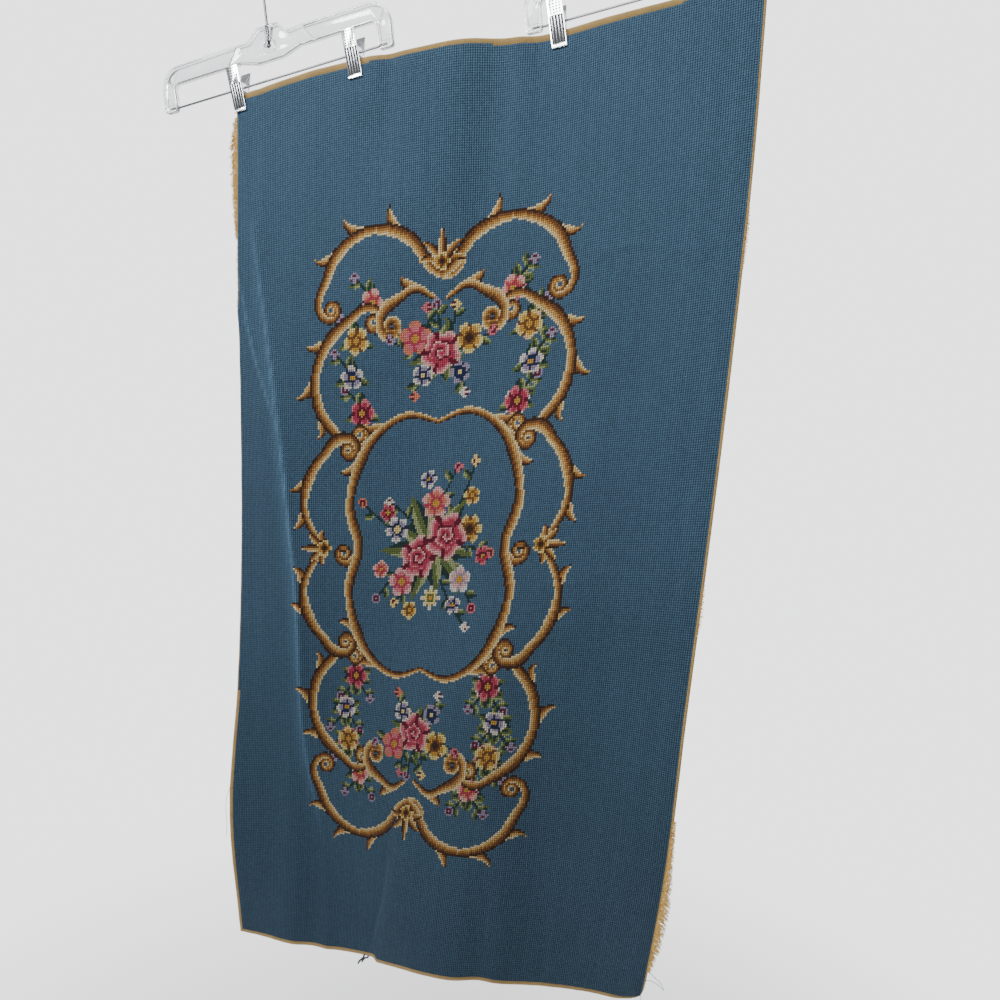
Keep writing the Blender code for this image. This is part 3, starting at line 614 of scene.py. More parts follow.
def stitch_chart():
    chart = np.full((ROWS, COLUMNS), YARN_NUMBER["field"], int)
    x, y = CENTRE_COLUMN, CENTRE_ROW
    stitch_garlands(chart, x, y)
    stitch_frame(chart)
    for side in (-1, 1):
        stitch_palmette(chart, x + side * 60, y, 90 - 90 * side, 12)
        stitch_palmette(chart, x, y + side * 132, 90 * side, 14)
    stitch_spray(chart, x, y - 92, -1)
    stitch_spray(chart, x, y + 92, 1)
    stitch_bouquet(chart, x, y)
    return chart


# Cloth: the numbers of its three materials, and where its mesh lines run
WOOL, CANVAS, REVERSE = 0, 1, 2
EDGE_STITCHES = 4
BACK_STEP = 6
BARE_RECESS = 0.2
BACK_LUMPS = 0.18
CLOTH_SHARP_DEG = 60

# Bare canvas shows beyond the last stitches: how many stitches of it at each edge
BARE_TOP = 2.7
BARE_BOTTOM = 2.0
BARE_LEFT = 1.0
BARE_LOWER_LEFT = 2.0
LOWER_ROWS = 300
BARE_RIGHT = 1.0
EDGE_ROLL = (1.3, 0.0, 1.1)


def stitch_lines(count, fine):
    """The stitches at which lines run on the front, and on the back, which takes some of them."""
    near_edge = {*range(EDGE_STITCHES + 1), HEM_STITCHES, HEM_STITCHES + 1}
    mirrored = {count - n for n in near_edge}
    front = near_edge | mirrored | set(range(0, count, 2)) | set(range(fine[0], fine[1] + 1))
    hem = {0, EDGE_STITCHES, HEM_STITCHES, HEM_STITCHES + 1}
    inner = {n for n in range(2 * HEM_STITCHES, count - 2 * HEM_STITCHES + 1, BACK_STEP)}
    back = hem | {count - n for n in hem} | inner | set(range(fine[0], fine[1] + 1, 3))
    return np.array(sorted(front)), np.array(sorted(back & front))


def edge_stitches(column, row):
    """How many stitches each place lies in from the nearest edge."""
    return np.minimum(np.minimum(column, COLUMNS - column), np.minimum(row, ROWS - row))


def is_bare(column, row):
    """Whether the canvas has no stitch here, near the edges."""
    top = row < BARE_TOP + 0.7 * np.sin(0.045 * column)
    left = column < np.where(row > LOWER_ROWS, BARE_LOWER_LEFT, BARE_LEFT)
    return top | left | (ROWS - row < BARE_BOTTOM) | (COLUMNS - column < BARE_RIGHT)


def surface_grid(column, row):
    """Front points at every crossing of column and row lines, and the way back from each."""
    points = sheet_front(column[None, :] / COLUMNS, row[:, None] / ROWS)
    backwards = np.cross(np.gradient(points, axis=1), np.gradient(points, axis=0))
    return points, backwards / np.linalg.norm(backwards, axis=2)[..., None]


def grid_faces(column, row, first, facing_back):
    wide = len(column)
    a = np.arange(len(row) * wide).reshape(-1, wide)[:-1, :-1].ravel() + first
    b = a + wide
    return np.stack([a, a + 1, b + 1, b] if facing_back else [a, b, b + 1, a + 1], 1)


def grid_pairs(column, row):
    """Every (column, row) pair of two lists of lines, row by row."""
    return np.stack(np.meshgrid(column, row), -1).reshape(-1, 2)


def rim_walk(column, row):
    """Crossings round the rim, clockwise from the top left, as (row number, column number)."""
    wide, tall = len(column), len(row)
    walk = [(0, c) for c in range(wide - 1)] + [(r, wide - 1) for r in range(tall - 1)]
    walk += [(tall - 1, c) for c in range(wide - 1, 0, -1)]
    return walk + [(r, 0) for r in range(tall - 1, 0, -1)]


def rim_faces(front_lines, back_lines, back_first):
    """Faces that close the edge between the front and the back."""
    column, row = front_lines
    back_column, back_row = back_lines
    faces, pending = [], []
    walk = rim_walk(column, row)
    for r, c in [*walk, walk[0]]:
        pending.append(r * len(column) + c)
        if row[r] in back_row and column[c] in back_column:
            at_back = back_first + int(np.searchsorted(back_row, row[r])) * len(back_column)
            at_back += int(np.searchsorted(back_column, column[c]))
            if len(pending) > 1:
                faces.append((*pending, at_back, last_back))
            pending, last_back = pending[-1:], at_back
    return faces


def front_points(column, row):
    """The stitched face. Its bare edges lie a little back, and its very edge is rolled."""
    points, backwards = surface_grid(column, row)
    column, row = column[None, :], row[:, None]
    recess = np.where(is_bare(column, row), BARE_RECESS, 0.0)
    for inset, roll in enumerate(EDGE_ROLL):
        recess += np.where(edge_stitches(column, row) == inset, roll, 0.0)
    return (points + backwards * recess[..., None]).reshape(-1, 3)


def back_points(column, row):
    """The lumpy back, thicker where the hem is turned over."""
    points, backwards = surface_grid(column, row)
    column, row = column[None, :], row[:, None]
    field = FIELD_THICKNESS + BACK_LUMPS * np.sin(1.7 * column + 2.9 * row)
    thickness = np.where(edge_stitches(column, row) <= HEM_STITCHES, HEM_THICKNESS, field)
    return (points + backwards * thickness[..., None]).reshape(-1, 3)


def make_cloth(chart, materials):
    """The stitched sheet, one quad for each stitch in the design, as one closed mesh."""
    column, back_column = stitch_lines(COLUMNS, DESIGN_COLUMNS)
    row, back_row = stitch_lines(ROWS, DESIGN_ROWS)
    sides = ((column, row), (back_column, back_row))
    front, back = front_points(*sides[0]), back_points(*sides[1])
    front_faces = grid_faces(*sides[0], 0, False).tolist()
    back_faces = grid_faces(*sides[1], len(front), True).tolist()
    mesh = bpy.data.meshes.new("stitched_panel")
    mesh.from_pydata([*front.tolist(), *back.tolist()], [],
                     [*front_faces, *back_faces, *rim_faces(*sides, len(front))])
    add_stitch_places(mesh, np.concatenate([grid_pairs(*lines) for lines in sides]))
    # Painted highlight along the sharp creases, kept on the front's points
    painted_highlight = np.zeros(len(mesh.vertices))
    painted_highlight[:len(front)] = wear(column[None, :] / COLUMNS, row[:, None] / ROWS).ravel()
    mesh.attributes.new("wear", "FLOAT", "POINT").data.foreach_set("value", painted_highlight)

    front_at, back_at = (grid_pairs(columns[:-1], rows[:-1]) for columns, rows in sides)
    add_yarn_colours(mesh, chart[tuple(np.concatenate([front_at, back_at]).T[::-1])])
    looks = np.full(len(mesh.polygons), CANVAS)
    looks[:len(front_at)] = np.where(is_bare(*(front_at.T + 0.5)), CANVAS, WOOL)
    hem = edge_stitches(*(back_at.T + 0.5)) < HEM_STITCHES
    looks[len(front_at):][:len(back_at)] = np.where(hem, CANVAS, REVERSE)
    mesh.polygons.foreach_set("material_index", looks.astype(np.int32))
    mesh.transform(SHEET_TO_FRAME)
    mesh.set_sharp_from_angle(angle=math.radians(CLOTH_SHARP_DEG))
    return add_piece("stitched_panel", mesh, *materials)


def add_stitch_places(mesh, places):
    """A texture map that holds the column and row of each point."""
    corners = np.zeros(len(mesh.loops), int)
    mesh.loops.foreach_get("vertex_index", corners)
    mesh.uv_layers.new(name="stitches").uv.foreach_set("vector", places[corners].astype(np.float32).ravel())


def add_yarn_colours(mesh, yarn):
    """The colour of each stitch on the front and the back. The edge's faces after them stay white."""
    colours = np.ones((len(mesh.polygons), 4))
    colours[:len(yarn)] = np.array([linear_rgb(rgb) for rgb in YARNS.values()])[yarn]
    sizes = np.zeros(len(mesh.polygons), int)
    mesh.polygons.foreach_get("loop_total", sizes)
    layer = mesh.color_attributes.new("yarn", "FLOAT_COLOR", "CORNER")
    layer.data.foreach_set("color", np.repeat(colours, sizes, axis=0).astype(np.float32).ravel())


def linear(value):
    """The linear brightness of a screen value from 0 to 255."""
    value /= 255
    return value / 12.92 if value <= 0.04045 else ((value + 0.055) / 1.055) ** 2.4


def linear_rgb(rgb):
    return (*(linear(value) for value in rgb), 1.0)


def add_object(name, data):
    obj = bpy.data.objects.new(name, data)
    bpy.context.scene.collection.objects.link(obj)
    return obj


def add_piece(name, mesh, *materials):
    for material in materials:
        mesh.materials.append(material)
    return add_object(name, mesh)


# Tubes, used for threads, wires and rods


def tube_parts(route, radii, sides, first=0):
    """Points and faces of a closed round bar along a route."""
    points, faces, side = [], [], None
    for i, centre in enumerate(route):
        ahead = (route[min(i + 1, len(route) - 1)] - route[max(i - 1, 0)]).normalized()
        side = ahead.orthogonal() if side is None else side
        side = (side - ahead * side.dot(ahead)).normalized()
        other = ahead.cross(side)
        for k in range(sides):
            angle = 2 * math.pi * k / sides
            points.append(centre + (side * math.cos(angle) + other * math.sin(angle)) * radii[i])
    for i in range(len(route) - 1):
        for k in range(sides):
            a, b = first + i * sides + k, first + i * sides + (k + 1) % sides
            faces.append((a, b, b + sides, a + sides))
    last = first + (len(route) - 1) * sides
    faces += [tuple(range(first + sides - 1, first - 1, -1)), tuple(range(last, last + sides))]
    return points, faces


def tubes_mesh(name, tubes, sides, to_frame):
    """Many (route, radii) tubes as one mesh."""
    points, faces = [], []
    for route, radii in tubes:
        more_points, more_faces = tube_parts(route, radii, sides, len(points))
        points += more_points
        faces += more_faces
    mesh = bpy.data.meshes.new(name)
    mesh.from_pydata(points, [], faces)
    mesh.polygons.foreach_set("use_smooth", [True] * len(mesh.polygons))
    mesh.transform(to_frame)
    return mesh


# Frayed threads: side is 0 at the left edge and 1 at the right, start and end are shares of the
# height, fullest is where between them it is widest, the lengths are those of the threads there,
# and pitch is their spacing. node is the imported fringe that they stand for.
Fray = namedtuple("Fray", "name node side start end fullest shortest longest droop pitch")
FRAYS = (
    Fray("frayed_threads_left", "fringe_left", 0, 0.022, 0.152, 0.30, 6.0, 12.0, 0.35, 0.36),
    Fray("frayed_threads_right", "fringe_right", 1, 0.775, 0.955, 0.62, 5.0, 13.0, 0.50, 0.36),
    Fray("fuzz_right_upper", None, 1, 0.205, 0.262, 0.50, 1.6, 3.6, 0.3, 1.1),
    Fray("fuzz_right_middle", None, 1, 0.545, 0.595, 0.50, 1.6, 4.2, 0.3, 1.1),
    Fray("fuzz_left_lower", None, 0, 0.160, 0.235, 0.30, 1.4, 3.0, 0.4, 1.4),
)
THREAD_RADIUS = 0.48
THREAD_STEPS = 6
THREAD_SIDES = 5
THREAD_ROOT = 1.2

# Threads along the frayed edge: how far out each one lies, and between which shares of the fray
CROSS_THREADS = ((1.2, 0.02, 0.98), (2.9, 0.10, 0.62), (4.6, 0.30, 0.52))
CROSS_POINTS = 61


def edge_places(side, downs):
    """Each place on an upright edge, with the directions out from it, down it and to the back."""
    edge = sheet_front(side, downs)
    outward = edge - sheet_front(abs(side - STEP), downs)
    above, below = (sheet_front(side, np.clip(downs + step, 0, 1)) for step in (-STEP, STEP))
    downward = below - above
    backward = np.cross(outward, downward) * (1 if side else -1)
    for rows in zip(edge, outward, downward, backward):
        place, *directions = (Vector(row) for row in rows)
        yield place, *(direction.normalized() for direction in directions)


def fray_tubes(fray, rng):
    """Bent canvas threads that stand out from one side of the sheet."""
    count = round((fray.end - fray.start) * SHEET_HEIGHT / fray.pitch)
    shares = [(n + rng.uniform(0.2, 0.8)) / count for n in range(count)]
    downs = fray.start + (fray.end - fray.start) * np.array(shares)
    fullness = math.log(0.5) / math.log(fray.fullest)
    tubes = []
    for share, (place, outward, downwards, backwards) in zip(shares, edge_places(fray.side, downs)):
        swell = 0.30 + 0.70 * math.sin(math.pi * share ** fullness)
        reach = rng.uniform(fray.shortest, fray.longest) * swell
        droop = reach * fray.droop * rng.uniform(0.5, 1.4)
        lift, wave = reach * rng.uniform(-0.35, 0.3), rng.uniform(0, 6.28)
        root = place + backwards * rng.uniform(0.7, 2.4) - outward * THREAD_ROOT
        steps = [i / THREAD_STEPS for i in range(THREAD_STEPS + 1)]
        route = [root + outward * (reach + THREAD_ROOT) * t * (1 - 0.12 * t) + backwards * lift * t * t
                 + downwards * (droop * t + 0.35 * math.sin(5 * t + wave)) * t for t in steps]
        radius = THREAD_RADIUS * rng.uniform(0.6, 1.1)
        tubes.append((route, [radius * (1 - 0.45 * t * t) for t in steps]))
    return tubes


def cross_threads(fray, rng):
    """Threads that still run along the frayed edge, through the loose ones."""
    tubes = []
    for distance, first, last in CROSS_THREADS:
        shares = np.linspace(first, last, CROSS_POINTS)
        places = edge_places(fray.side, fray.start + (fray.end - fray.start) * shares)
        route = []
        for i, (share, (place, outward, downwards, backwards)) in enumerate(zip(shares, places)):
            away = distance + 0.5 * math.sin(9 * share + distance) + rng.uniform(-0.15, 0.15)
            behind = 1.5 + 0.6 * (-1) ** i
            route.append(place + outward * away + backwards * behind + downwards * 0.2 * away)
        tubes.append((route, [THREAD_RADIUS * 0.8] * CROSS_POINTS))
    return tubes


# Single loose threads. anchor is (across, down) on the sheet, and offsets are millimetres
# sideways, downwards and back from there.
Loose = namedtuple("Loose", "radius look anchor offsets")
LOOSE_THREADS = (
    Loose(0.34, "loose", (1.0, 0.955), ((0, -2, 1), (9, 7, 2), (18, 16, 3), (22, 25, 3), (20, 24, 4),
                                        (11, 17, 3), (2, 14, 2), (-6, 18, 1))),
    Loose(0.30, "loose", (1.0, 0.960), ((-8, 16, 2), (-5, 24, 3), (-3, 36, 3), (-1, 50, 2))),
    Loose(0.30, "loose", (0.0, 0.800), ((1, 0, 1), (-3, 14, 0), (-4, 32, 1), (-2, 50, 2), (-1, 70, 1))),
    Loose(1.30, "dark", (0.352, 1.0), ((0, -2, 1), (-1, 3, 0), (-6, 8, -1), (-9, 13, 0))),
    Loose(1.10, "dark", (0.362, 1.0), ((0, -1, 1), (0, 2, 1), (-6, 5, 2), (-11, 12, 3))),
)
LOOSE_SIDES = 6


def loose_tube(thread):
    across, down = thread.anchor
    sideways, downwards, backwards = sheet_directions(across, down)
    root = Vector(sheet_front(across, down))
    knots = [root + sideways * x + downwards * z + backwards * y for x, z, y in thread.offsets]
    at = np.linspace(0, len(knots) - 1, 8 * len(knots))
    curve = np.stack([smooth_curve(range(len(knots)), axis, at) for axis in zip(*knots)], 1)
    return [Vector(point) for point in curve], [thread.radius] * len(curve)


# Hangers

# The hook's upset head, as (height above its seat in the hub, radius), and the points along the
# shank's bend and round the crook
HOOK_HEAD = ((-0.6, 1.8), (-0.3, HOOK_HEAD_RADIUS - 0.3), (0.4, HOOK_HEAD_RADIUS),
             (HOOK_HEAD_HEIGHT - 0.3, HOOK_HEAD_RADIUS), (HOOK_HEAD_HEIGHT, 2.4))
SHANK_Z = (HOOK_HEAD_Z + HOOK_HEAD_HEIGHT + 0.5, 60.0)
SHANK_BEND_STEPS = 24
CROOK_STEPS = 64


def hook_tube():
    """The wire from its head in the hub up the shank, out to the side and over the crook."""
    places = [(0, HOOK_HEAD_Z + z) for z, _ in HOOK_HEAD] + [(0, z) for z in SHANK_Z]
    for t in (k / SHANK_BEND_STEPS for k in range(SHANK_BEND_STEPS)):
        rise = (CROOK_CENTRE_Z - HOOK_STRAIGHT_TO) * t
        places.append((CROOK_RADIUS * float(ease(t)), HOOK_STRAIGHT_TO + rise))
    for k in range(CROOK_STEPS + 1):
        angle = math.radians(CROOK_END_DEG * k / CROOK_STEPS)
        places.append((CROOK_RADIUS * math.cos(angle), CROOK_CENTRE_Z + CROOK_RADIUS * math.sin(angle)))
    tip = [WIRE_RADIUS * 0.85, WIRE_RADIUS * 0.35]
    head = [radius for _, radius in HOOK_HEAD]
    radii = head + [WIRE_RADIUS] * (len(places) - len(head) - len(tip)) + tip
    return [Vector((x, 0, z)) for x, z in places], radii


# The rod's rounded ends, as (distance from its end, radius)
ROD_END = ((0, 0.5), (0.15, 1.0), (0.6, ROD_RADIUS))


def rod_tube():
    """The steel rod, with rounded ends."""
    start = [Vector((e - ROD_HALF_LENGTH, 0, 0)) for e, _ in ROD_END]
    radii = [radius for _, radius in ROD_END]
    return start + [-point for point in reversed(start)], radii + radii[::-1]


PAD_TOP = CLIP_BOTTOM + PAD_HEIGHT
COIL_STEPS = 84
COIL_SLACK = 0.15


def jaw_rise(z):
    """How far up a jaw a height is, from 0 above its pad to 1 at its top."""
    return (z - PAD_TOP) / (CLIP_TOP - PAD_TOP)


def spring_tube():
    """A coil round the rod whose two legs press the jaws' upper ends apart."""
    coil = ROD_RADIUS + CLEARANCE + SPRING_WIRE + COIL_SLACK
    half = SPRING_TURNS * SPRING_PITCH / 2
    reach = GRIP - SPRING_WIRE - CLEARANCE
    front, back = (reach + lean * jaw_rise(SPRING_LEG_Z) for lean in (FRONT_LEAN, BACK_LEAN))
    route = [Vector((-half, -front, SPRING_LEG_Z))]
    for share in (k / COIL_STEPS for k in range(COIL_STEPS + 1)):
        angle = math.pi - 2 * math.pi * share * (SPRING_TURNS - 0.5)
        route.append(Vector((half * (2 * share - 1), coil * math.cos(angle), coil * math.sin(angle))))
    route.append(Vector((half, back, SPRING_LEG_Z)))
    return route, [SPRING_WIRE] * len(route)


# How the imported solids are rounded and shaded, in millimetres and degrees, and how many sides
# the round bars have. Corner points join within a distance in metres.
BODY_ROUNDING = 0.7
JAW_ROUNDING = 0.2
JOIN_WITHIN = 1e-6
FLAT_DEG = 0.5
ROUNDED_FROM_DEG = 35
SHARP_DEG = 40
WIRE_SIDES = 20
RIB_SIDES = 14
SPRING_SIDES = 10


def solid_of(node, rounding):
    """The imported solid's mesh with its corner points joined again and its edges rounded."""
    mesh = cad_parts[node].data.copy()
    mesh.materials.clear()
    shape = bmesh.new()
    shape.from_mesh(mesh)
    bmesh.ops.remove_doubles(shape, verts=shape.verts, dist=JOIN_WITHIN)
    bmesh.ops.dissolve_limit(shape, angle_limit=math.radians(FLAT_DEG), verts=shape.verts, edges=shape.edges)
    sharp = [edge for edge in shape.edges if edge.calc_face_angle(0) > math.radians(ROUNDED_FROM_DEG)]
    bmesh.ops.bevel(shape, geom=sharp, offset=rounding * MM, offset_type="OFFSET", segments=2, profile=0.5,
                    affect="EDGES", clamp_overlap=True)
    shape.to_mesh(mesh)
    shape.free()
    return mesh


# Pressed details of a clip's front jaw: half-round ribs, rows of dimples above them, and a lip. A dark plate
# just proud of the face between the ribs, and the dimples in the same dark material, are painted shade for
# the grooves and hollows. A rib's end is (distance from it, share of its radius), and the lip's outline is
# (depth, height) from the jaw's outer face and lower end.
RIBS_AT = (-5.1, -1.7, 1.7, 5.1)
RIBS_FROM = PAD_TOP + 0.6
RIB_RADIUS = 0.95
RIB_END = ((0.0, 0.35), (0.5, 0.8), (1.2, 1.0))
GROOVE_PLATE = 0.15
DIMPLE_ROWS = 6
DIMPLE_PITCH = 2.75
DIMPLE_FIRST_Z = 7.2
LIP_OUTLINE = ((0, 0.2), (-1.2, 0.2), (-1.5, 0.7), (-1.5, 2.1), (-1.1, 2.6), (0, 2.6))
# Material numbers on a jaw: the bright chrome, and the dark material that paints shade in the grooves and
# dimples
BRIGHT, PAINTED_SHADE = 0, 1

# A dimple is a low dome whose rim lies under the face: its top, and its rings as (radius, height)
DIMPLE_HEIGHT = 0.45
DIMPLE_RINGS = (
    (1.0, -0.3),
    (math.cos(math.pi / 6), 0.225),
    (0.5, DIMPLE_HEIGHT * math.sin(math.pi / 3)),
)
DIMPLE_SIDES = 10


def dome(centre, outwards):
    """A low dome on a face, as points and faces counted from zero."""
    sides, along = DIMPLE_SIDES, Vector((1, 0, 0))
    other = outwards.cross(along)
    turns = [2 * math.pi * k / sides for k in range(sides)]
    points = [centre + (along * math.cos(a) + other * math.sin(a)) * radius + outwards * height
              for radius, height in DIMPLE_RINGS for a in turns]
    points.append(centre + outwards * DIMPLE_HEIGHT)
    faces = [tuple(range(sides - 1, -1, -1))]
    for k in range(sides):
        following = (k + 1) % sides
        for first in range(0, (len(DIMPLE_RINGS) - 1) * sides, sides):
            faces.append((first + k, first + following, first + following + sides, first + k + sides))
        faces.append((len(points) - 1 - sides + k, len(points) - 1 - sides + following, len(points) - 1))
    return points, faces


def front_face_depth(z):
    """Where the sloping outer face of a front jaw lies at a height."""
    return -(GRIP + JAW_THICKNESS + JAW_SWELL + (FRONT_LEAN - JAW_SWELL) * jaw_rise(z))


def bar_shell(wide, profile, look):
    """A bar across a jaw, from its (depth, height) outline."""
    count = len(profile)
    points = [Vector((x, *place)) for x in (-wide, wide) for place in profile]
    faces = [tuple(range(count - 1, -1, -1)), tuple(range(count, 2 * count))]
    faces += [(k, (k + 1) % count, count + (k + 1) % count, count + k) for k in range(count)]
    return points, faces, look


def pressed_shells():
    """The ribs and the dark plate between them, which is painted shade for the grooves, the dimples, also in
    painted shade, and the lip of a front jaw.
    """
    low, high = RIBS_FROM, RIBS_FROM + JAW_RIB_LENGTH
    heights = [low + e for e, _ in RIB_END] + [high - e for e, _ in reversed(RIB_END)]
    swell = [share for _, share in RIB_END]
    radii = [RIB_RADIUS * share for share in swell + swell[::-1]]
    for x in RIBS_AT:
        yield *tube_parts([Vector((x, front_face_depth(z), z)) for z in heights], radii, RIB_SIDES), BRIGHT
    plate = [(front_face_depth(z) - out, z) for z, out in
             ((low, -0.3), (low, GROOVE_PLATE), (high, GROOVE_PLATE), (high, -0.3))]
    yield bar_shell(CLIP_HALF_WIDTH - 0.7, plate, PAINTED_SHADE)
    outwards = Vector((0, PAD_TOP - CLIP_TOP, -FRONT_LEAN)).normalized()
    for z in (DIMPLE_FIRST_Z + row * DIMPLE_PITCH for row in range(DIMPLE_ROWS)):
        for x in RIBS_AT:
            yield *dome(Vector((x, front_face_depth(z), z)), outwards), PAINTED_SHADE
    lip = [(out - GRIP - JAW_THICKNESS, CLIP_BOTTOM + z) for out, z in LIP_OUTLINE]
    yield bar_shell(CLIP_HALF_WIDTH - 0.3, lip, BRIGHT)


def add_shells(mesh, shells, to_frame):
    """Adds closed shells, each with the number of its material, to a mesh."""
    shape = bmesh.new()
    shape.from_mesh(mesh)
    for points, faces, look in shells:
        corners = [shape.verts.new(to_frame @ point) for point in points]
        added = [shape.faces.new([corners[k] for k in face]) for face in faces]
        bmesh.ops.recalc_face_normals(shape, faces=added)
        for face in added:
            face.material_index = look
    shape.to_mesh(mesh)
    shape.free()


def dress(node, mesh, slot, *materials):
    """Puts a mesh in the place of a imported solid."""
    mesh.polygons.foreach_set("use_smooth", [True] * len(mesh.polygons))
    mesh.set_sharp_from_angle(angle=math.radians(SHARP_DEG))
    return stand_for(add_piece(f"dressed_{node}", mesh, *materials), node, slot)


def dress_clip(prefix, to_frame, looks):
    """The two jaws and the spring of one clip. Only the jaws are returned."""
    front, back = (solid_of(f"{prefix}_{side}_jaw", JAW_ROUNDING) for side in ("front", "back"))
    add_shells(front, pressed_shells(), to_frame)
    spring = tubes_mesh(f"{prefix}_spring_wire", [spring_tube()], SPRING_SIDES, to_frame)
    # The second material is the painted shade of the jaws' grooves and dimples
    pieces = [dress(f"{prefix}_{part}", mesh, "chrome", looks["chrome"], looks["painted_groove_shade"])
              for part, mesh in (("front_jaw", front), ("back_jaw", back), ("spring", spring))]
    return pieces[:2]


def stand_for(obj, node, slot):
    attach(obj, "root")
    if node:
        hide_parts(node)
    return obj


def dress_hanger(hanger, looks):
    """One hanger's body, rod and hook, and its clips, whose jaws are returned."""
    prefix = f"hanger_{hanger.side}"
    to_frame = SHEET_TO_FRAME @ hanger_frame(hanger)
    dress(f"{prefix}_body", solid_of(f"{prefix}_body", BODY_ROUNDING), "clear_plastic", looks["plastic"])
    wires = (("rod", rod_tube(), "steel", "steel_rod"), ("hook", hook_tube(), "hook", "chrome"))
    for part, tube, look, slot in wires:
        mesh = tubes_mesh(f"{prefix}_{part}_wire", [tube], WIRE_SIDES, to_frame)
        stand_for(add_piece(f"dressed_{prefix}_{part}", mesh, looks[look]), f"{prefix}_{part}", slot)
    jaws = []
    for number, clip_at in enumerate(hanger.clips_at, 1):
        place = to_frame @ Matrix.Translation((clip_at, 0, 0))
        jaws += dress_clip(f"clip_{hanger.side}_{number}", place, looks)
    return jaws


# Materials


class Shading:
    """A node tree under construction."""

    def __init__(self, owner):
        owner.use_nodes = True
        self.owner = owner
        self.nodes, self.links = owner.node_tree.nodes, owner.node_tree.links

    def put(self, target, value):
        if isinstance(value, bpy.types.NodeSocket):
            self.links.new(value, target)
        else:
            target.default_value = value[:3] if target.type == "VECTOR" else value

    def node(self, kind, inputs=(), **settings):
        """A new node. inputs gives its sockets by name or number."""
        node = self.nodes.new(f"ShaderNode{kind}")
        for name, value in settings.items():
            setattr(node, name, value)
        for key, value in dict(inputs).items():
            self.put(node.inputs[key], value)
        return node

    def set(self, shader="Principled BSDF", **values):
        for name, value in values.items():
            self.put(self.nodes[shader].inputs[name.replace("_", " ")], value)
        return self.owner

    def maths(self, operation, a, b=0.0, clamp=False):
        return self.node("Math", {0: a, 1: b}, operation=operation, use_clamp=clamp).outputs[0]

    def times(self, first, *factors):
        for factor in factors:
            first = self.maths("MULTIPLY", first, factor)
        return first

    def mix(self, share, a, b):
        """A colour between two colours."""
        return self.node("Mix", {"Factor": share, 6: a, 7: b}, data_type="RGBA").outputs[2]

    def spread(self, value, low, high, span=(0.0, 1.0), interpolation="LINEAR"):
        """A value within a span brought to the range from low to high."""
        inputs = {"Value": value, "From Min": span[0], "From Max": span[1], "To Min": low, "To Max": high}
        return self.node("MapRange", inputs, interpolation_type=interpolation).outputs[0]

    def scaled(self, colour, factor):
        """A colour made brighter or darker by a factor."""
        return self.node("VectorMath", {0: colour, "Scale": factor}, operation="SCALE").outputs[0]

    def place(self, kind="Object"):
        return self.node("TexCoord").outputs[kind]

    def noise(self, scale, detail):
        inputs = {"Vector": self.place(), "Scale": scale, "Detail": detail}
        return self.node("TexNoise", inputs).outputs["Fac"]

    def random_at(self, x, y):
        """A random value for each pair of whole numbers."""
        pair = self.node("CombineXYZ", {0: self.maths("FLOOR", x), 1: self.maths("FLOOR", y)}).outputs[0]
        return self.node("TexWhiteNoise", {"Vector": pair}, noise_dimensions="2D").outputs["Value"]

    def attribute(self, name, output):
        return self.node("Attribute", attribute_name=name).outputs[output]

    def stitch_places(self):
        """Column and row, in stitches, at each point of the cloth."""
        uv = self.node("UVMap", uv_map="stitches").outputs[0]
        return self.node("SeparateXYZ", {0: uv}).outputs[:2]

    def bump(self, height, distance, strength, normal=None):
        inputs = {"Height": height, "Distance": distance, "Strength": strength}
        if normal is not None:
            inputs["Normal"] = normal
        return self.node("Bump", inputs).outputs[0]


def new_look(name):
    return Shading(bpy.data.materials.new(name))


def slanted_yarn(look, column, row, across_width, length_width):
    """The height of a rounded yarn that slants over each crossing, from 0 to 1."""
    x = look.maths("SUBTRACT", look.maths("FRACT", column), 0.5)
    y = look.maths("SUBTRACT", look.maths("FRACT", row), 0.5)
    across = look.times(look.maths("ADD", x, y), across_width)
    along = look.times(look.maths("SUBTRACT", x, y), length_width)
    ridge = look.maths("SUBTRACT", 1.0, look.times(across, across), clamp=True)
    ends = look.maths("SUBTRACT", 1.0, look.times(along, along), clamp=True)
    return look.times(ridge, ends), x


# Brightness of the yarn colours in the work, and how it is painted darker from the sheet's top to its
# bottom: painted shade for light that falls off downwards
WOOL_DEPTH = 0.56
WOOL_SHADE_DOWNWARDS = (1.12, 0.68)
CREASE_HIGHLIGHT_BRIGHTNESS = 2.2


def wool_material():
    """Tent stitches in wool: one slanted yarn for each stitch, with painted shade where each yarn is low and
    in the gaps between columns.
    """
    look = new_look("wool_stitches")
    column, row = look.stitch_places()
    height, x = slanted_yarn(look, column, row, 1.25, 0.78)
    gap = look.maths("POWER", look.times(look.maths("ABSOLUTE", x), 2.0), 5.0)
    fibre = look.noise(2600.0, 2.0)
    lit = look.times(
        # Painted shade: darker where the yarn is low and in the gaps between columns
        look.spread(height, 0.22, 1.25), look.spread(gap, 1.0, 0.34),
        look.spread(look.random_at(column, row), 0.90, 1.12),
        look.spread(look.random_at(column, 0.0), 0.97, 1.04),
        look.spread(look.noise(7.0, 4.0), 0.86 * WOOL_DEPTH, 1.14 * WOOL_DEPTH),
        # Painted shade: the yarn colour darkens from the top row to the bottom row
        look.spread(row, *WOOL_SHADE_DOWNWARDS, (0.0, ROWS)),
        # Painted highlight: paler yarn along the sharp creases
        look.spread(look.attribute("wear", "Fac"), 1.0, CREASE_HIGHLIGHT_BRIGHTNESS), look.spread(fibre, 0.88, 1.12),
    )
    return look.set(
        Base_Color=look.scaled(look.attribute("yarn", "Color"), lit), Roughness=0.92,
        Normal=look.bump(fibre, 0.00012, 0.6, look.bump(height, 0.0010, 0.9)),
        Specular_IOR_Level=0.18, Sheen_Weight=0.04, Sheen_Roughness=0.4, Sheen_Tint=(0.62, 0.72, 0.86, 1.0),
    )


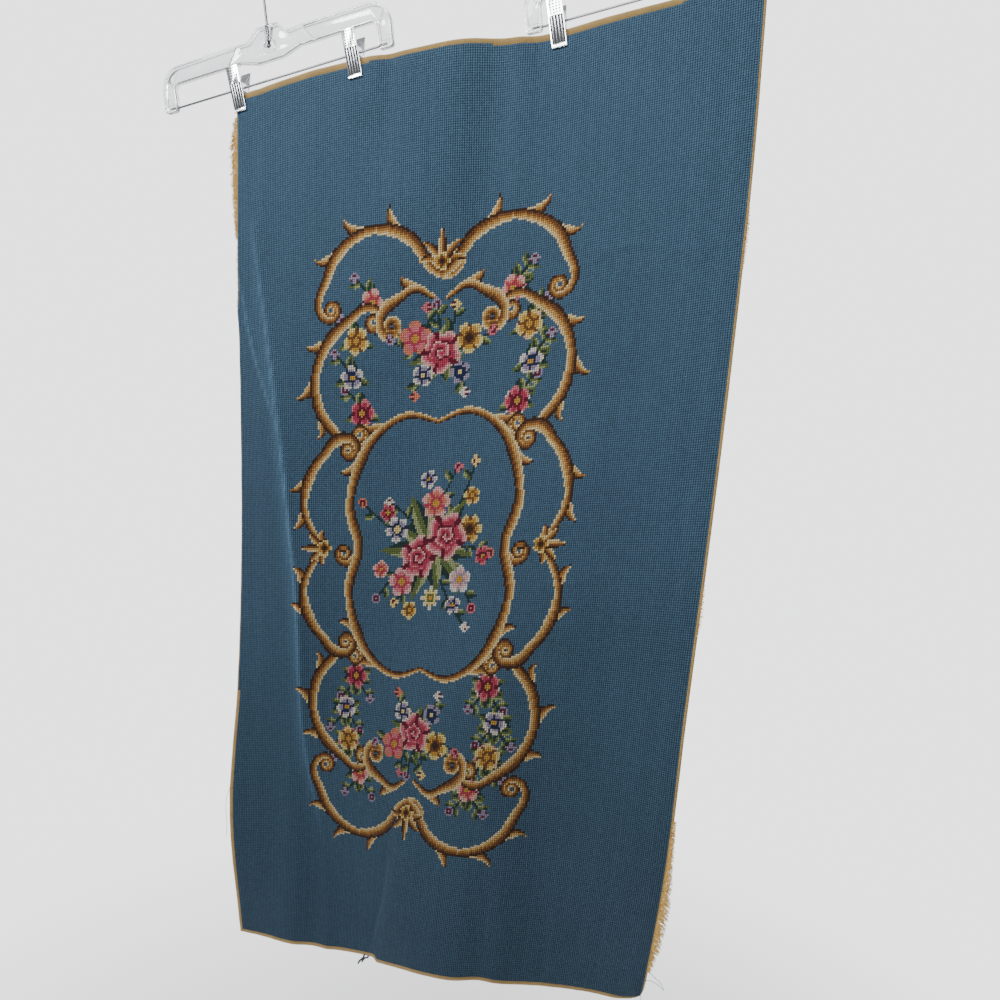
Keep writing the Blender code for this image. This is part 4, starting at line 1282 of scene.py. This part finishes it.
def back_material():
    """The back of the work: longer, looser yarns, with ends that were carried across."""
    look = new_look("wool_stitch_backs")
    column, row = look.stitch_places()
    slid = look.maths("ADD", column, look.times(look.noise(90.0, 2.0), 1.4))
    height, _ = slanted_yarn(look, slid, row, 1.05, 0.45)
    lit = look.times(
        # Painted shade: darker where each yarn is low
        look.spread(height, 0.42, 1.0),
        look.spread(look.random_at(column, row), 0.82 * WOOL_DEPTH, 1.15 * WOOL_DEPTH),
    )
    carried = look.maths("GREATER_THAN", look.noise(160.0, 1.0), 0.66)
    colour = look.mix(carried, look.attribute("yarn", "Color"), linear_rgb((46, 66, 96)))
    return look.set(
        Base_Color=look.scaled(colour, lit), Roughness=0.95, Specular_IOR_Level=0.15, Sheen_Weight=0.25,
        Normal=look.bump(look.noise(2200.0, 2.0), 0.00015, 0.6, look.bump(height, 0.0009, 0.9)),
    )


def canvas_material():
    """Bare stiffened canvas: two fine threads each way for every stitch, with painted shade between the
    threads, a painted highlight at the rolled outer edge and painted shade inwards next to the stitches.
    """
    look = new_look("bare_canvas")
    column, row = look.stitch_places()
    waves = [look.maths("SINE", look.times(place, 4 * math.pi)) for place in (column, row)]
    height = look.maths("MAXIMUM", *(look.times(wave, wave) for wave in waves))
    across, down = (look.maths("MINIMUM", place, look.maths("SUBTRACT", float(count), place))
                    for place, count in ((column, COLUMNS), (row, ROWS)))
    lit = look.times(
        # Painted shade between the canvas threads; the noise is tone that differs at random
        look.spread(height, 0.45, 1.06), look.spread(look.noise(60.0, 4.0), 0.74, 1.18),
        # Painted highlight at the rolled outer edge, and painted shade inwards next to the stitches
        look.spread(look.maths("MINIMUM", across, down), 1.15, 0.62, (0.0, 2.5)),
    )
    return look.set(
        Base_Color=look.scaled(linear_rgb((176, 146, 92)), lit), Roughness=0.88, Specular_IOR_Level=0.2,
        Normal=look.bump(height, 0.0004, 0.8), Sheen_Weight=0.1,
    )


def thread_material(name, rgb):
    """A single twisted thread."""
    look = new_look(name)
    twist = look.noise(1500.0, 2.0)
    lit = look.times(look.spread(twist, 0.50, 1.40), look.spread(look.noise(420.0, 3.0), 0.40, 1.45))
    return look.set(
        Base_Color=look.scaled(linear_rgb(rgb), lit), Roughness=0.85, Specular_IOR_Level=0.25,
        Normal=look.bump(twist, 0.0002, 0.7), Sheen_Weight=0.15,
    )


def plastic_material():
    """Clear moulded plastic whose colour is painted darker where its faces turn away from view: painted
    shade along its rims.
    """
    look = new_look("clear_moulded_plastic")
    turned = look.node("LayerWeight", {"Blend": 0.5}).outputs["Facing"]
    ripple = look.noise(120.0, 3.0)
    return look.set(
        # Painted shade: the colour darkens towards black where the faces turn away from view
        Base_Color=look.mix(turned, (0.95, 0.965, 0.97, 1), (0.08, 0.10, 0.12, 1)),
        Roughness=look.spread(ripple, 0.03, 0.12), IOR=1.49, Transmission_Weight=1.0,
        Normal=look.bump(ripple, 0.0003, 0.25),
    )


def metal_material(name, rgb, low, high, scratch, metallic=1.0):
    look = new_look(name)
    worn = look.noise(240.0, 5.0)
    return look.set(
        Base_Color=look.scaled(linear_rgb(rgb), look.spread(worn, 0.86, 1.06)), Metallic=metallic,
        Roughness=look.spread(worn, low, high), Normal=look.bump(look.noise(3200.0, 2.0), scratch, 0.5),
    )


# Scene


# The camera is placed in the sheet's own millimetres, and its lens is for a 36 mm sensor
CAMERA_AT = (349.4, -864.2, 190.8)
CAMERA_YAW_DEG = -18.5
CAMERA_PITCH_DEG = -8.4
CAMERA_ROLL_DEG = 3.12
CAMERA_LENS = 28.8
FLOOR_BELOW = 0.62


def place_camera():
    yaw, pitch, roll = (math.radians(d) for d in (CAMERA_YAW_DEG, CAMERA_PITCH_DEG, CAMERA_ROLL_DEG))
    ahead = Vector((math.sin(yaw) * math.cos(pitch), math.cos(yaw) * math.cos(pitch), math.sin(pitch)))
    level = Vector((math.cos(yaw), -math.sin(yaw), 0))
    right = level * math.cos(roll) + level.cross(ahead) * math.sin(roll)
    camera = add_object("camera", bpy.data.cameras.new("camera"))
    camera.data.lens = CAMERA_LENS
    camera.data.clip_end = 200
    axes = Matrix((right, right.cross(ahead), -ahead)).transposed()
    camera.matrix_world = Matrix.Translation(SHEET_TO_FRAME @ Vector(CAMERA_AT)) @ axes.to_4x4()
    bpy.context.scene.camera = camera


# Lamps: places and aims are metres from the middle of the part
Lamp = namedtuple("Lamp", "name at towards size energy")
LAMPS = (
    Lamp("front_light", (0.0, -1.35, 1.0), (0, 0, 0.4), 0.8, 26),
    Lamp("side_light", (-2.7, -4.0, 2.2), (0, 0, 0), 1.0, 180),
    Lamp("low_card", (-1.3, -2.4, 0.65), (0, 0, 0.5), 1.0, 6),
)


def add_lamp(lamp, middle):
    data = bpy.data.lights.new(lamp.name, "AREA")
    data.shape = "DISK"
    data.size, data.energy = lamp.size, lamp.energy
    light = add_object(lamp.name, data)
    light.location = middle + Vector(lamp.at)
    light.rotation_euler = (Vector(lamp.towards) - Vector(lamp.at)).to_track_quat("-Z", "Y").to_euler()


# Room light, as brightness: what lies behind the panel is a pale wall, and the room in front
# of it is dimmer
WALL_LIGHT = 2.6
ROOM_LIGHT = 0.22
CEILING_LIGHT = 0.40
FLOOR_FADE = (0.4, 1.7)
FLOOR_SIDES = 64


def light_room():
    """World light that is bright towards +Y, dimmer towards -Y and a little brighter above."""
    world = bpy.data.worlds.new("pale_room")
    look = Shading(world)
    _, backwards, upwards = look.node("SeparateXYZ", {0: look.place("Generated")}).outputs
    towards_wall = look.spread(backwards, 0.0, 1.0, (0.0, 0.35), "SMOOTHSTEP")
    room = look.spread(upwards, ROOM_LIGHT, CEILING_LIGHT, (0.1, 0.9))
    strength = look.node("Mix", {"Factor": towards_wall, "A": room, "B": WALL_LIGHT}).outputs[0]
    look.set("Background", Color=(0.985, 0.99, 1.0, 1), Strength=strength)
    bpy.context.scene.world = world


def make_floor(middle, height):
    """A pale floor that fades out into the room."""
    turns = [2 * math.pi * k / FLOOR_SIDES for k in range(FLOOR_SIDES)]
    mesh = bpy.data.meshes.new("floor")
    mesh.from_pydata([(FLOOR_FADE[1] * math.cos(a), FLOOR_FADE[1] * math.sin(a), 0.0) for a in turns], [],
                     [tuple(range(FLOOR_SIDES))])
    look = new_look("pale_floor")
    distance = look.node("VectorMath", {0: look.place()}, operation="LENGTH").outputs["Value"]
    look.set(
        Base_Color=look.mix(look.noise(0.9, 2.0), (0.84, 0.845, 0.85, 1), (0.88, 0.882, 0.885, 1)),
        Roughness=0.8, Alpha=look.spread(distance, 1.0, 0.0, FLOOR_FADE, "SMOOTHSTEP"),
    )
    floor = add_piece("floor", mesh, look.owner)
    floor.location = (middle.x, middle.y, height)
    floor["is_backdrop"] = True


def set_studio():
    low, high = (Vector(corner) for corner in cad_box)
    middle = (low + high) / 2
    make_floor(middle, low.z - FLOOR_BELOW)
    light_room()
    for lamp in LAMPS:
        add_lamp(lamp, middle)


def main():
    looks = {
        "chrome": metal_material("bright_chrome", (226, 229, 233), 0.14, 0.30, 0.00003),
        # A near-black material that paints the shade in the clip jaws' grooves and dimples
        "painted_groove_shade": metal_material("painted_groove_shade", (22, 24, 28), 0.45, 0.60, 0.00004, 0.3),
        "steel": metal_material("drawn_steel", (150, 152, 156), 0.34, 0.50, 0.00004),
        "hook": metal_material("hook_wire", (112, 114, 118), 0.30, 0.45, 0.00004),
        "plastic": plastic_material(),
        "canvas_thread": thread_material("canvas_thread", (198, 160, 84)),
        "loose": thread_material("loose_yarn", (84, 92, 86)),
        "dark": thread_material("dark_yarn", (34, 40, 52)),
    }
    place_camera()
    set_studio()
    jaws = [jaw for hanger in HANGERS for jaw in dress_hanger(hanger, looks)]

    cloth = make_cloth(stitch_chart(), [wool_material(), canvas_material(), back_material()])
    stand_for(cloth, "canvas_panel", "wool_stitching")
    rng = random.Random(5)
    for fray in FRAYS:
        tubes = fray_tubes(fray, rng) + (cross_threads(fray, rng) if fray.node else [])
        mesh = tubes_mesh(fray.name, tubes, THREAD_SIDES, SHEET_TO_FRAME)
        stand_for(add_piece(fray.name, mesh, looks["canvas_thread"]), fray.node, "raw_canvas")
    for name, look in (("loose_threads", "loose"), ("yarn_tuft", "dark")):
        tubes = [loose_tube(thread) for thread in LOOSE_THREADS if thread.look == look]
        mesh = tubes_mesh(name, tubes, LOOSE_SIDES, SHEET_TO_FRAME)
        stand_for(add_piece(name, mesh, looks[look]), None, "wool_stitching")


main()
boxes = {"cad": cad_box, "visual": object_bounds()}
sizes = {name: [[float(value) for value in corner] for corner in box] for name, box in boxes.items()}
